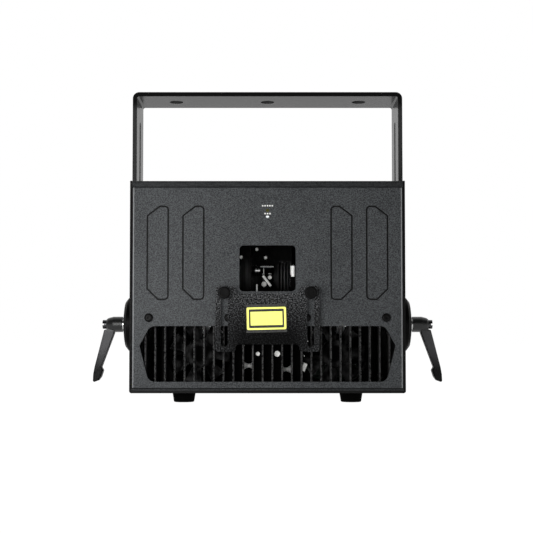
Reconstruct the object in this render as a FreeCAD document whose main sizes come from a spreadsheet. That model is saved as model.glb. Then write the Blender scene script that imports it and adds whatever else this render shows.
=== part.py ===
"""Laser show projector: a sheet-metal case with a scanner window, hung in a slotted yoke.

+Z is up, the front panel faces -Y and the origin lies on the floor below the middle of the projector.
Every length is in millimetres and stands once in SIZES. A rule is a short sum in those words, such as
"case_width / 2 - sheet", and ties a size or a place of a piece to the sheet.
"""
import FreeCAD
import Part
import Sketcher
import os
import re

# Driving dimensions. "up" is measured from the case floor, "down" from its top, "in" from the front panel's
# face, "back" from the rear panel's face and "side" from the nearer side of the case.
SIZES = {
    # case
    "case_width": 240.0, "case_depth": 230.0, "case_height": 185.2,
    "sheet": 1.5, "inner_bend": 0.6, "edge_round": 0.6, "seam": 0.2,
    "lip_recess": 0.5, "lid_lip": 5.3, "base_lip": 3.7,
    "overrun": 1.0, "thread_play": 0.05,
    # feet
    "foot_height": 8.5, "foot_top_radius": 10.3, "foot_base_radius": 8.9,
    "foot_side": 46.2, "foot_in": 20.0, "foot_round": 1.2,
    # front panel
    "panel": 3.0, "panel_chamfer": 0.6,
    "window_width": 49.0, "window_height": 40.1, "window_up": 108.45, "window_radius": 3.5,
    "vent_low_up": 9.9, "vent_waist_up": 41.2, "vent_high_up": 58.2,
    "vent_low_side": 16.8, "vent_waist_side": 8.8, "vent_high_side": 18.0,
    "vent_radius": 7.0, "vent_waist_radius": 3.0,
    "groove_side": 14.7, "groove_pitch": 31.0, "groove_width": 19.5,
    "groove_low_up": 80.8, "groove_high_down": 21.8,
    "groove_low_run": 9.7, "groove_low_rise": 9.5, "groove_high_run": 11.3, "groove_high_rise": 8.6,
    "groove_line": 1.4, "groove_depth": 0.9, "groove_radius": 4.0,
    # panel screws
    "screw_up": 65.5, "screw_side": 16.8, "screw_inner_x": 33.8,
    "screw_radius": 2.0, "screw_head_radius": 3.8, "screw_head": 2.1, "screw_rim": 0.8,
    "screw_crown_radius": 2.4,
    # vent grille
    "slat": 1.5, "slat_pitch": 8.5, "slat_depth": 9.5,
    "rail_gap": 1.0, "grille_margin": 2.0, "rail_depth": 4.0, "top_rail": 12.0, "low_rail": 4.5,
    # window glass and its retainer
    "glass": 2.0, "glass_margin": 2.5, "retainer": 2.0, "retainer_margin": 5.0,
    # indicator lamps
    "lamp_radius": 1.5, "lamp_pitch": 5.5, "lamp_proud": 0.5,
    "lamp_play": 0.1, "lamp_board_in": 8.0, "lamp_board": 1.6,
    "lamp_board_width": 18.0, "lamp_board_height": 20.0,
    "lamp_post_radius": 1.5, "lamp_post_x": 6.5,
    # yoke and its pivot
    "pivot_in": 87.0, "pivot_up": 60.7,
    "bar_width": 50.0, "bar_thick": 4.0, "arm_gap": 2.0, "slide_play": 0.1, "yoke_top_up": 277.7,
    "yoke_bend": 2.0, "yoke_hole_radius": 6.5, "yoke_hole_pitch": 87.3,
    "slot_half_width": 4.2, "slot_head": 27.6,
    "stud_radius": 4.0, "stud_play": 0.1, "stud_flange_radius": 14.0, "stud_flange": 4.0,
    "stud_grip": 6.0,
    "disc_radius": 25.0, "disc_rim": 5.3, "disc_shoulder_radius": 21.7, "disc_shoulder": 7.9,
    "disc_crown_radius": 11.0, "disc_crown": 9.7,
    # clamping levers, measured outwards from the disc
    "insert_radius": 5.0, "collar": 1.8, "insert_length": 10.2,
    "hub_radius": 7.35, "hub_straight": 8.6, "hub_taper_radius": 6.2, "hub_taper": 4.6,
    "hub_end_radius": 5.0, "hub_end": 1.8, "hub_play": 0.15, "hub_web": 1.5,
    "lever_screw_radius": 1.9, "lever_screw_head_radius": 4.2, "lever_screw_head": 3.7,
    "lever_screw_slot": 1.6, "lever_screw_slot_depth": 1.4, "lever_screw_play": 0.2,
    "spring_outer_radius": 3.6, "spring_inner_radius": 2.5,
    "lever_reach": 27.6, "lever_drop": 54.5, "lever_half_width": 4.6, "lever_round": 1.4,
    # aperture mask and its thumb screws
    "mask_half_width": 45.0, "mask_low_up": 36.0, "mask_high_up": 92.7, "mask_rise": 6.3,
    "mask_web_half": 27.6, "mask": 2.5, "mask_gap": 2.5, "mask_play": 0.15, "mask_corner": 3.0,
    "mask_slot_half": 2.95, "mask_slot_x": 37.3, "mask_slot_low_up": 43.15, "thumb_up": 86.8,
    "thumb_radius": 5.25, "thumb_length": 9.85, "thumb_waist_radius": 4.4, "thumb_waist": 2.0,
    "thumb_edge": 0.7, "thumb_shank_radius": 2.6, "thumb_thread_radius": 2.0, "spacer_radius": 4.6,
    "plate_width": 35.0, "plate_height": 24.4, "plate": 0.4, "plate_x": -0.9, "plate_up": 64.8,
    "plate_tilt": 1.3,
    # scanner
    "scan_x": -0.6, "scan_in": 55.0, "low_galvo_up": 100.2, "high_galvo_up": 110.2,
    "galvo_radius": 6.2, "galvo_length": 36.0, "galvo_nose_radius": 4.0, "galvo_nose": 3.0,
    "galvo_play": 0.1, "galvo_shaft_radius": 1.5, "shaft_play": 0.05, "shaft_sink": 12.0,
    "mount_radius": 5.0, "mount_length": 4.5, "mount_gap": 0.5,
    "mirror": 1.0, "low_mirror_length": 9.8, "low_mirror_depth": 8.0, "low_mirror_tilt": 127.0,
    "high_mirror_length": 12.4, "high_mirror_depth": 9.0, "high_mirror_tilt": 135.0,
    "scan_block_wall": 5.0, "scan_block_top": 30.0, "scan_block_depth": 26.0, "scan_arm_length": 26.0,
    "scan_shelf": 12.0, "scan_shelf_up": 8.0, "scan_fin": 1.2, "scan_fin_pitch": 2.9,
    # optical bench
    "bench": 8.0, "bench_up": 73.0, "bench_side": 17.0, "bench_in": 34.0, "bench_back": 26.0,
    "post_radius": 6.0, "post_inset": 12.0,
    "stay_x": 17.0, "stay_radius": 3.2, "stay_foot_radius": 6.5, "stay_foot": 3.0, "stay_cone": 22.0,
    "heat_sink_width": 150.0, "heat_sink_back": 62.0,
    "heat_sink_in": 78.0, "heat_sink_base": 5.0,
    "fin": 1.5, "fin_pitch": 6.0, "fin_height": 16.0, "fin_count": 25,
    "module_width": 32.0, "module_back": 36.0, "module_height": 34.0, "module_pitch": 52.0,
    "module_in": 132.0, "module_nose_radius": 6.0, "module_nose": 8.0, "module_nose_up": 19.2,
    "combiner_in": 112.0, "combiner": 1.5, "combiner_width": 14.0, "combiner_height": 14.0,
    "combiner_tilt": 45.0, "combiner_base": 12.0, "combiner_base_width": 18.0,
    "steer_x": 23.2, "steer_width": 6.0, "steer_height": 11.0, "steer_base": 8.0,
    "steer_upright": 2.4, "steer_upright_width": 5.0, "steer_gap": 0.6,
    "driver_width": 36.0, "driver_depth": 50.0, "driver_height": 22.0, "driver_side": 36.0,
    "driver_in": 50.0,
    "supply_side": 13.0, "supply_mid_gap": 9.0, "supply_in": 72.0, "supply_depth": 70.0,
    "supply_height": 38.0,
    "board_side": 17.0, "board_mid_gap": 13.0, "board_in": 72.0, "board_depth": 70.0, "board_thick": 1.6,
    "board_post": 8.0, "board_post_radius": 3.0, "board_post_inset": 6.0,
    "board_parts": 12.0, "board_parts_margin": 12.0,
    # fans
    "fan_size": 60.0, "fan_depth": 20.0, "fan_x": 60.0, "fan_up": 34.0, "fan_in": 14.5,
    "fan_corner": 4.0,
    "fan_bore_radius": 28.4, "fan_strut": 3.0, "fan_base": 2.0,
    "fan_bracket": 1.5, "fan_bracket_margin": 3.0, "fan_bracket_foot": 22.0,
    "sight_width": 10.0, "sight_low_up": 9.0, "sight_high_up": 52.0,
    "blade_gap": 0.7, "rotor_hub_radius": 12.5, "rotor_hub": 15.0, "rotor_hub_round": 1.5,
    "rotor_gap": 0.6, "rotor_pin_radius": 1.5, "pin_play": 0.06,
    "blade": 1.1, "blade_root_chord": 11.0, "blade_tip_chord": 18.0, "blade_sink": 1.5,
    "blade_root_pitch": 50.0, "blade_tip_pitch": 32.0, "blade_count": 7,
    # rear panel
    "rear_panel": 2.0, "rear_slot": 4.0, "rear_slot_height": 34.0, "rear_slot_pitch": 8.0,
    "rear_slot_side": 31.0, "rear_slot_up": 60.2, "cutout_play": 0.3,
    "rear_screw_reach": 6.0, "rear_screw_side": 12.0,
    "rear_screw_low_up": 12.0, "rear_screw_high_down": 13.2,
    "socket_up": 36.0, "socket_side": 17.0, "flange": 2.5,
    "inlet_flange_width": 42.0, "inlet_flange_height": 32.0, "inlet_width": 30.0,
    "inlet_height": 23.0, "inlet_depth": 24.0, "inlet_well_width": 25.0, "inlet_well_height": 17.0,
    "inlet_well": 18.0, "inlet_pin_pitch": 7.0, "inlet_pin_width": 2.0, "inlet_pin_height": 6.0,
    "inlet_pin": 15.0,
    "signal_flange_width": 53.0, "signal_flange_height": 12.5,
    "signal_half_low": 18.2, "signal_half_high": 19.4, "signal_height": 8.3,
    "signal_proud": 5.8, "signal_depth": 9.0,
    "network_width": 17.0, "network_height": 16.0, "network_depth": 21.0,
    "network_well_width": 12.0, "network_well_height": 9.0, "network_well": 15.0, "network_proud": 1.0,
    "key_ring_radius": 11.0, "key_ring": 4.0, "key_barrel_radius": 8.0,
    "key_barrel": 24.0, "key_ring_round": 1.0, "key_slot_radius": 5.5, "key_slot": 12.0,
    "key_plug_radius": 5.4, "key_bow": 10.8, "key_bow_width": 20.0, "key_bow_height": 3.0,
    "key_bow_round": 3.0, "key_hole_radius": 3.0,
}

# Outline of a lever's arm seen from the front: shares of its reach outwards and of its drop.
LEVER_SHARES = (
    (0.30, 0.0), (0.50, 0.0), (0.535, 0.085), (0.624, 0.101), (0.946, 0.741), (0.989, 0.864), (1.0, 0.978),
    (0.964, 1.0), (0.803, 0.972), (0.713, 0.910), (0.642, 0.798), (0.703, 0.741), (0.272, 0.147),
)
MASK_CURVE_SHARE = 0.46
KEY_EYE_SHARE = 0.6
SCAN_FINS = 4
# The indicator lamps lie near the middle of the strip between the window and the case's top.
LAMP_RISE_SHARE = 0.49

FRONT = "(-case_depth / 2)"
BACK = "(case_depth / 2)"
FLOOR = "foot_height"
TOP = "(foot_height + case_height)"
SIDE = "(case_width / 2)"
INNER = "(case_width / 2 - sheet)"
PANEL_HALF = "(case_width / 2 - sheet - seam)"
PANEL_LOW = "(foot_height + base_lip + seam)"
PANEL_HIGH = "(foot_height + case_height - lid_lip - seam)"
PIVOT_Y = "(-case_depth / 2 + pivot_in)"
PIVOT_Z = "(foot_height + pivot_up)"
ARM = "(case_width / 2 + arm_gap)"
DISC = "(case_width / 2 + arm_gap + bar_thick + slide_play)"
LEVER = "(case_width / 2 + arm_gap + bar_thick + slide_play * 2 + disc_crown)"
BENCH_TOP = "(foot_height + bench_up + bench)"
SCAN_Y = "(-case_depth / 2 + scan_in)"
LOW_GALVO_Z = "(foot_height + low_galvo_up)"
HIGH_GALVO_Z = "(foot_height + high_galvo_up)"
WINDOW_HIGH = "(foot_height + window_up + window_height / 2)"
LAMP_Z = f"({WINDOW_HIGH} + ({TOP} - {WINDOW_HIGH}) * {LAMP_RISE_SHARE})"
LAMP_PLACES = (("high", f"({LAMP_Z} + lamp_pitch / 2)"), ("low", f"({LAMP_Z} - lamp_pitch / 2)"))
BENCH_HALF = "(case_width / 2 - bench_side)"
VENT_HALF = "(case_width / 2 - vent_waist_side)"
SLATS = f"floor({VENT_HALF} * 2 / slat_pitch)"
REAR_SLOTS = "floor((case_width - rear_slot_side * 2) / rear_slot_pitch)"
SOCKET_WIDTHS = "(inlet_flange_width + signal_flange_width + network_width + key_ring_radius * 2)"
SOCKET_GAP = f"((case_width - socket_side * 2 - {SOCKET_WIDTHS}) / 3)"
INLET_X = "(-case_width / 2 + socket_side + inlet_flange_width / 2)"
SIGNAL_X = f"({INLET_X} + inlet_flange_width / 2 + {SOCKET_GAP} + signal_flange_width / 2)"
NETWORK_X = f"({SIGNAL_X} + signal_flange_width / 2 + {SOCKET_GAP} + network_width / 2)"
KEY_X = "(case_width / 2 - socket_side - key_ring_radius)"

DIRECTIONS = {
    "+x": FreeCAD.Vector(1, 0, 0), "-x": FreeCAD.Vector(-1, 0, 0),
    "+y": FreeCAD.Vector(0, 1, 0), "-y": FreeCAD.Vector(0, -1, 0),
    "+z": FreeCAD.Vector(0, 0, 1), "-z": FreeCAD.Vector(0, 0, -1),
}
PLANES = {"xy": "XY_Plane", "xz": "XZ_Plane", "yz": "YZ_Plane"}
TOUCHING = 1e-4

doc = FreeCAD.newDocument("LaserProjector")
sheet = doc.addObject("Spreadsheet::Sheet", "Sizes")
for row, (alias, size) in enumerate(SIZES.items(), start=1):
    sheet.set(f"A{row}", alias.replace("_", " "))
    sheet.set(f"B{row}", str(size))
    sheet.setAlias(f"B{row}", alias)
doc.recompute()
nodes = []


def rule(text):
    """Writes a rule in the sheet's own words, so that an expression can hold it."""
    def in_sheet(word):
        return f"Sizes.{word[0]}" if word[0] in SIZES else word[0]

    return re.sub(r"[a-z][a-z0-9_]*", in_sheet, text)


def number(text):
    """Works a rule out."""
    return float(sheet.evalExpression(rule(text)))


def up(size):
    """Height of something measured from the case floor."""
    return f"(foot_height + {size})"


def down(size):
    """Height of something measured down from the case's top."""
    return f"({TOP} - ({size}))"


def behind(size):
    """Depth of something measured from the front panel's face."""
    return f"(-case_depth / 2 + {size})"


def bind(piece, **rules):
    """Ties properties of a piece to rules."""
    for name, text in rules.items():
        piece.setExpression(name, rule(text))


def place(piece, x, y, z):
    """Ties the place of a piece to three rules."""
    for name, text in zip("xyz", (x, y, z)):
        piece.setExpression(f"Placement.Base.{name}", rule(text))
    return piece


def named(piece, label):
    """Marks a finished piece: its label names its file."""
    piece.Label = label
    nodes.append(piece)
    return piece


def block(name, x, y, z):
    """A box between two rules on each axis."""
    piece = doc.addObject("Part::Box", name)
    spans = [f"({high}) - ({low})" for low, high in (x, y, z)]
    bind(piece, Length=spans[0], Width=spans[1], Height=spans[2])
    return place(piece, x[0], y[0], z[0])


def rod(name, along, at, radius, length):
    """A cylinder that starts at a point and runs along an axis."""
    piece = doc.addObject("Part::Cylinder", name)
    piece.Placement.Rotation = FreeCAD.Rotation(DIRECTIONS["+z"], DIRECTIONS[along])
    bind(piece, Radius=radius, Height=length)
    return place(piece, *at)


def joined(name, pieces):
    """One solid made of several."""
    piece = doc.addObject("Part::MultiFuse", name)
    piece.Shapes = pieces
    piece.Refine = True
    return piece


def cut(name, base, tools):
    """A piece with tools taken out of it."""
    piece = doc.addObject("Part::Cut", name)
    piece.Base = base
    piece.Tool = tools[0] if len(tools) == 1 else group(f"{name}_tools", tools)
    return piece


def group(name, pieces):
    """Several solids that stay apart."""
    piece = doc.addObject("Part::Compound", name)
    piece.Links = pieces
    return piece


def mirrored(name, source):
    """The same piece on the other side of the projector."""
    piece = doc.addObject("Part::Mirroring", name)
    piece.Source = source
    piece.Normal = DIRECTIONS["+x"]
    return piece


def origin_part(body, role):
    """A plane or an axis of a body's own origin."""
    return next(part for part in body.Origin.OriginFeatures if part.Role == role)


def outline(body, name, plane, points, lift=None):
    """A closed outline on a plane of a body, each point tied to two rules."""
    sketch = body.newObject("Sketcher::SketchObject", name)
    sketch.AttachmentSupport = [(origin_part(body, PLANES[plane]), "")]
    sketch.MapMode = "FlatFace"
    if lift:
        sketch.setExpression("AttachmentOffset.Base.z", rule(lift))
    spots = [FreeCAD.Vector(number(first), number(second), 0) for first, second in points]
    for start, end in zip(spots, spots[1:] + spots[:1]):
        sketch.addGeometry(Part.LineSegment(start, end), False)
    for index, (spot, texts) in enumerate(zip(spots, points)):
        following = (index + 1) % len(points)
        sketch.addConstraint(Sketcher.Constraint("Coincident", index, 2, following, 1))
        for kind, value, text in zip(("DistanceX", "DistanceY"), spot, texts):
            link = sketch.addConstraint(Sketcher.Constraint(kind, -1, 1, index, 1, value))
            sketch.setExpression(f"Constraints[{link}]", rule(text))
    return sketch


def picked(body, wanted):
    """The body's last step, with the names of its edges that a test picks."""
    doc.recompute()
    base = body.Tip
    return base, [f"Edge{place}" for place, edge in enumerate(base.Shape.Edges, start=1) if wanted(edge)]


def rounded(body, radius, wanted):
    """Rounds the edges of a body that a test picks."""
    edges = picked(body, wanted)
    fillet = body.newObject("PartDesign::Fillet", f"{body.Name}_round")
    fillet.Base = edges
    bind(fillet, Radius=radius)
    return fillet


def chamfered(body, size, wanted):
    """Breaks the edges of a body that a test picks."""
    edges = picked(body, wanted)
    chamfer = body.newObject("PartDesign::Chamfer", f"{body.Name}_chamfer")
    chamfer.Base = edges
    bind(chamfer, Size=size)
    return chamfer


def in_plane(point, plane):
    """The two coordinates of a point that lie in a plane."""
    return [getattr(point, axis) for axis in plane]


def through_corners(plane, corners):
    """Picks the straight edges that stand on an outline's corners."""
    spots = [[number(first), number(second)] for first, second in corners]

    def wanted(edge):
        ends = [in_plane(vertex.Point, plane) for vertex in (edge.Vertexes[0], edge.Vertexes[-1])]
        return len(edge.Vertexes) == 2 and any(
            all(abs(a - b) < TOUCHING for end in ends for a, b in zip(end, spot)) for spot in spots)
    return wanted


def at_level(axis, level):
    """Picks the edges that lie at one level of an axis of the body."""
    value = number(level)

    def wanted(edge):
        return all(abs(getattr(vertex.Point, axis) - value) < TOUCHING for vertex in edge.Vertexes)
    return wanted


def is_level(edge):
    """Whether an edge keeps its depth from end to end."""
    return abs(edge.Vertexes[0].Y - edge.Vertexes[-1].Y) < TOUCHING


def padded(name, plane, start, depth, points, rounds=(), backwards=False):
    """A plate: an outline padded along its plane's normal, with some of its corners rounded.

    On "xz" the normal points to the front, so start is the plate's back unless it is padded backwards.
    """
    body = doc.addObject("PartDesign::Body", name)
    sketch = outline(body, f"{name}_outline", plane, points)
    pad = body.newObject("PartDesign::Pad", f"{name}_pad")
    pad.Profile = sketch
    pad.Reversed = backwards
    bind(pad, Length=depth)
    for radius, corners in rounds:
        rounded(body, radius, through_corners(plane, [points[index] for index in corners]))
    offset = {"xy": ("0", "0", start), "xz": ("0", start, "0"), "yz": (start, "0", "0")}[plane]
    return place(body, *offset)


def turned(name, along, at, profile):
    """A turned piece: a profile of radii and distances along an axis, spun about that axis."""
    body = doc.addObject("PartDesign::Body", name)
    sketch = outline(body, f"{name}_profile", "xz", profile)
    spin = body.newObject("PartDesign::Revolution", f"{name}_spin")
    spin.Profile = sketch
    spin.ReferenceAxis = (sketch, ["V_Axis"])
    spin.Angle = 360
    body.Placement.Rotation = FreeCAD.Rotation(DIRECTIONS["+z"], DIRECTIONS[along])
    return place(body, *at)


def rectangle(x, z):
    """The corners of a rectangle between two rules on each axis."""
    return [(x[0], z[0]), (x[1], z[0]), (x[1], z[1]), (x[0], z[1])]


def about(centre, size):
    """The two ends of a size that lies evenly about a centre."""
    return f"({centre}) - ({size}) / 2", f"({centre}) + ({size}) / 2"


def tilted_slab(centre, length, thickness, tilt):
    """The corners of a thin slab seen on edge, turned about its centre."""
    along = (f"cos({tilt}) * {length} / 2", f"sin({tilt}) * {length} / 2")
    across = (f"sin({tilt}) * {thickness} / 2", f"cos({tilt}) * {thickness} / 2")
    return [
        (f"{centre[0]} {a} {along[0]} {b} {across[0]}", f"{centre[1]} {a} {along[1]} {c} {across[1]}")
        for a, b, c in (("-", "-", "+"), ("-", "+", "-"), ("+", "+", "-"), ("+", "-", "+"))
    ]


def make_case_shell():
    """Floor and both sides, bent from one sheet, with a short lip at the front and at the back."""
    section = [
        (f"-{SIDE}", TOP), (f"-{SIDE}", FLOOR), (SIDE, FLOOR), (SIDE, TOP),
        (INNER, TOP), (INNER, up("sheet")), (f"-{INNER}", up("sheet")), (f"-{INNER}", TOP),
    ]
    bends = (("inner_bend + sheet", (1, 2)), ("inner_bend", (5, 6)), ("edge_round", (0, 3)))
    bent = padded("shell_bend", "xz", f"{BACK} - lip_recess", "case_depth - lip_recess * 2",
                  section, bends)
    width = (f"-{INNER}", INNER)
    height = (FLOOR, up("base_lip"))
    front, back = behind("lip_recess"), f"{BACK} - lip_recess"
    front_lip = block("shell_front_lip", width, (front, f"{front} + sheet"), height)
    back_lip = block("shell_back_lip", width, (f"{back} - sheet", back), height)
    whole = joined("shell_sheet", [bent, front_lip, back_lip])
    start = (f"-{SIDE} - overrun", PIVOT_Y, PIVOT_Z)
    bore = rod("shell_stud_bore", "+x", start, "stud_radius + stud_play", "case_width + overrun * 2")
    named(cut("shell_cut", whole, [bore]), "case_shell")


def make_top_lid():
    """Lid that drops between the sides, bent down at the front and at the back."""
    front, back = behind("lip_recess"), f"{BACK} - lip_recess"
    section = [
        (front, TOP), (front, f"{TOP} - lid_lip"), (f"{front} + sheet", f"{TOP} - lid_lip"),
        (f"{front} + sheet", f"{TOP} - sheet"), (f"{back} - sheet", f"{TOP} - sheet"),
        (f"{back} - sheet", f"{TOP} - lid_lip"), (back, f"{TOP} - lid_lip"), (back, TOP),
    ]
    bends = (("inner_bend + sheet", (0, 7)), ("inner_bend", (3, 4)))
    named(padded("lid_bend", "yz", f"-{PANEL_HALF}", f"{PANEL_HALF} * 2", section, bends), "top_lid")


def groove_outline(side, place_in_pair, inset):
    """A panel with two bevelled corners towards the case's side, drawn a little inside its own edge."""
    outer = f"({SIDE} - groove_side - groove_pitch * {place_in_pair})"
    low, high = up("groove_low_up"), down("groove_high_down")
    low_slope = "sqrt(groove_low_run ^ 2 + groove_low_rise ^ 2)"
    high_slope = "sqrt(groove_high_run ^ 2 + groove_high_rise ^ 2)"
    low_rise = f"(groove_low_rise + {inset} * ({low_slope} - groove_low_rise) / groove_low_run)"
    low_run = f"(groove_low_run + {inset} * ({low_slope} - groove_low_run) / groove_low_rise)"
    high_run = f"(groove_high_run + {inset} * ({high_slope} - groove_high_run) / groove_high_rise)"
    high_rise = f"(groove_high_rise + {inset} * ({high_slope} - groove_high_rise) / groove_high_run)"
    spots = [
        (inset, f"{low} + {low_rise}"), (low_run, f"{low} + {inset}"),
        (f"groove_width - {inset}", f"{low} + {inset}"), (f"groove_width - {inset}", f"{high} - {inset}"),
        (high_run, f"{high} - {inset}"), (inset, f"{high} - {high_rise}"),
    ]
    return [(f"{side} * ({outer} - ({inward}))", height) for inward, height in spots]


def make_groove(name, side, place_in_pair):
    """The engraved line round one bevelled panel: its outer outline less its inner one."""
    start, depth = behind("groove_depth"), "groove_depth + overrun"
    outer = padded(f"{name}_outer", "xz", start, depth, groove_outline(side, place_in_pair, "0"),
                   [("groove_radius", (2, 3))])
    inner = padded(f"{name}_inner", "xz", start, depth, groove_outline(side, place_in_pair, "groove_line"),
                   [("groove_radius - groove_line", (2, 3))])
    return cut(name, outer, [inner])


def make_front_panel():
    """Front plate with the window, the vent opening, engraved outlines and holes for screws and lamps."""
    plate = padded("panel_plate", "xz", behind("panel"), "panel",
                   rectangle((f"-{PANEL_HALF}", PANEL_HALF), (PANEL_LOW, PANEL_HIGH)))
    chamfered(plate, "panel_chamfer", at_level("y", "-panel"))
    start, depth = behind("panel + overrun"), "panel + overrun * 2"
    window = padded("panel_window", "xz", start, depth,
                    rectangle(about("0", "window_width"), about(up("window_up"), "window_height")),
                    [("window_radius", (0, 1, 2, 3))])
    levels = ("high", "waist", "low")
    left = [(f"vent_{level}_side - {SIDE}", up(f"vent_{level}_up")) for level in levels]
    right = [(f"{SIDE} - vent_{level}_side", up(f"vent_{level}_up")) for level in reversed(levels)]
    vent = padded("panel_vent", "xz", start, depth, left + right,
                  [("vent_radius", (0, 2, 3, 5)), ("vent_waist_radius", (1, 4))])
    tools = [window, vent]
    for side, hand in ((-1, "left"), (1, "right")):
        for place_in_pair, spot in enumerate(("outer", "inner")):
            tools.append(make_groove(f"groove_{hand}_{spot}", side, place_in_pair))
        thumb = (f"{side} * mask_slot_x", start, up("thumb_up"))
        tools.append(rod(f"panel_thumb_{hand}", "-y", thumb, "thumb_thread_radius + thread_play", depth))
    for index, (x, z) in enumerate(front_screw_places()):
        tools.append(rod(f"panel_screw_{index}", "-y", (x, start, z), "screw_radius + thread_play", depth))
    for lamp, z in LAMP_PLACES:
        tools.append(rod(f"panel_lamp_{lamp}", "-y", ("0", start, z), "lamp_radius + lamp_play", depth))
    named(cut("panel_cut", plate, tools), "front_panel")


def front_screw_places():
    """Two screws at each side of the panel, in one row above the vent."""
    return [(f"{side} * {x}", up("screw_up"))
            for side in (-1, 1) for x in (f"({SIDE} - screw_side)", "screw_inner_x")]


def make_screw(name, along, at, reach):
    """Button-head screw whose head stands on a face and whose shank runs back by its reach."""
    profile = [
        ("0", f"-({reach})"), ("screw_radius", f"-({reach})"), ("screw_radius", "0"),
        ("screw_head_radius", "0"), ("screw_head_radius", "screw_rim"),
        ("screw_crown_radius", "screw_head"), ("0", "screw_head"),
    ]
    return turned(name, along, at, profile)


def make_front_screws():
    """Screws that hold the vent grille behind the front panel."""
    screws = [make_screw(f"front_screw_{index}", "-y", (x, FRONT, z), "panel + rail_depth")
              for index, (x, z) in enumerate(front_screw_places())]
    named(group("front_screw_group", screws), "front_screws")


def make_vent_grille():
    """Upright slats between two rails behind the vent opening."""
    half = f"{VENT_HALF} + grille_margin"
    top = (up("vent_high_up + rail_gap"), up("vent_high_up + rail_gap + top_rail"))
    low = (up("vent_low_up - rail_gap - low_rail"), up("vent_low_up - rail_gap"))
    body = padded("grille_body", "xz", behind("panel"), "rail_depth",
                  rectangle((f"-({half})", half), top), backwards=True)
    first = f"-slat_pitch * ({SLATS} - 1) / 2"
    for name, points, depth in (
        ("grille_slat", rectangle(about(first, "slat"), (low[0], top[1])), "slat_depth"),
        ("grille_low_rail", rectangle((f"-({half})", half), low), "rail_depth"),
    ):
        pad = body.newObject("PartDesign::Pad", name)
        pad.Profile = outline(body, f"{name}_outline", "xz", points)
        pad.Reversed = True
        bind(pad, Length=depth)
        if name == "grille_slat":
            slat = pad
            pattern = body.newObject("PartDesign::LinearPattern", "grille_slats")
            pattern.Originals = [slat]
            pattern.Direction = (origin_part(body, "X_Axis"), [""])
            bind(pattern, Length=f"slat_pitch * ({SLATS} - 1)", Occurrences=SLATS)
            body.Tip = pattern
    body.Tip = pad
    holes = [rod(f"grille_hole_{index}", "-y", (x, behind("panel + rail_depth + overrun"), z),
                 "screw_radius + thread_play", "rail_depth + overrun * 2")
             for index, (x, z) in enumerate(front_screw_places())]
    named(cut("grille_cut", body, holes), "vent_grille")


def make_window():
    """Clear pane behind the window, and the frame that holds it to the panel."""
    def frame(margin):
        width, height = f"window_width + ({margin}) * 2", f"window_height + ({margin}) * 2"
        return about("0", width), about(up("window_up"), height)

    x, z = frame("glass_margin")
    named(block("glass_pane", x, (behind("panel"), behind("panel + glass")), z), "window_glass")
    outer_x, outer_z = frame("retainer_margin")
    deep = (behind("panel"), behind("panel + glass + retainer"))
    outer = block("retainer_block", outer_x, deep, outer_z)
    well_x, well_z = frame("glass_margin + seam")
    well = block("retainer_well", well_x, (behind("panel - overrun"), behind("panel + glass")), well_z)
    hole_x, hole_z = frame("seam")
    past = behind("panel + glass + retainer + overrun")
    hole = block("retainer_hole", hole_x, (behind("panel"), past), hole_z)
    named(cut("retainer_cut", outer, [joined("retainer_hollow", [well, hole])]), "window_retainer")


def make_lamps():
    """Two small indicator lamps in the panel, the board they stand on and its posts."""
    reach = "lamp_board_in"
    dome = [("0", f"-{reach}"), ("lamp_radius", f"-{reach}"), ("lamp_radius", "0"),
            ("lamp_radius - lamp_proud", "lamp_proud"), ("0", "lamp_proud")]
    lamps = [turned(f"{lamp}_lens", "-y", ("0", FRONT, z), dome) for lamp, z in LAMP_PLACES]
    named(group("lamp_group", lamps), "status_lamps")
    deep = (behind("lamp_board_in"), behind("lamp_board_in + lamp_board"))
    board = block("lamp_plate", about("0", "lamp_board_width"), deep, about(LAMP_Z, "lamp_board_height"))
    posts = [rod(f"lamp_post_{index}", "+y", (f"{side} * lamp_post_x", behind("panel"), LAMP_Z),
                 "lamp_post_radius", "lamp_board_in - panel") for index, side in enumerate((-1, 1))]
    named(joined("lamp_board_whole", [board, *posts]), "lamp_board")


def make_feet():
    """Four rubber feet under the case floor."""
    profile = [("0", "0"), ("foot_top_radius", "0"), ("foot_base_radius", "foot_height"),
               ("0", "foot_height")]
    feet = []
    for index, (side, y) in enumerate((side, y) for side in (-1, 1)
                                      for y in (behind("foot_in"), f"{BACK} - foot_in")):
        foot = turned(f"foot_{index}", "-z", (f"{side} * ({SIDE} - foot_side)", y, FLOOR), profile)
        rounded(foot, "foot_round", at_level("z", "foot_height"))
        feet.append(foot)
    named(group("foot_group", feet), "rubber_feet")


def make_pivot():
    """Studs through the case sides, the washers beside the case and the domed friction discs."""
    stud = [
        ("0", "-stud_flange"), ("stud_flange_radius", "-stud_flange"), ("stud_flange_radius", "0"),
        ("stud_radius", "0"), ("stud_radius", f"{LEVER} - {INNER} + stud_grip"),
        ("0", f"{LEVER} - {INNER} + stud_grip"),
    ]
    bore = "stud_radius + stud_play"
    washer = [(bore, "0"), ("disc_radius", "0"), ("disc_radius", "arm_gap - slide_play"),
              (bore, "arm_gap - slide_play")]
    disc = [
        (bore, "0"), ("disc_radius", "0"), ("disc_radius", "disc_rim"),
        ("disc_shoulder_radius", "disc_shoulder"), ("disc_crown_radius", "disc_crown"), (bore, "disc_crown"),
    ]
    studs, washers = [], []
    for side, hand, along in ((-1, "left", "-x"), (1, "right", "+x")):
        starts = [(f"{side} * {start}", PIVOT_Y, PIVOT_Z) for start in (INNER, SIDE, DISC)]
        studs.append(turned(f"stud_{hand}", along, starts[0], stud))
        washers.append(turned(f"washer_{hand}", along, starts[1], washer))
        named(turned(f"disc_{hand}", along, starts[2], disc), f"{hand}_pivot_disc")
    named(group("stud_group", studs), "pivot_studs")
    named(group("washer_group", washers), "arm_washers")


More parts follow.
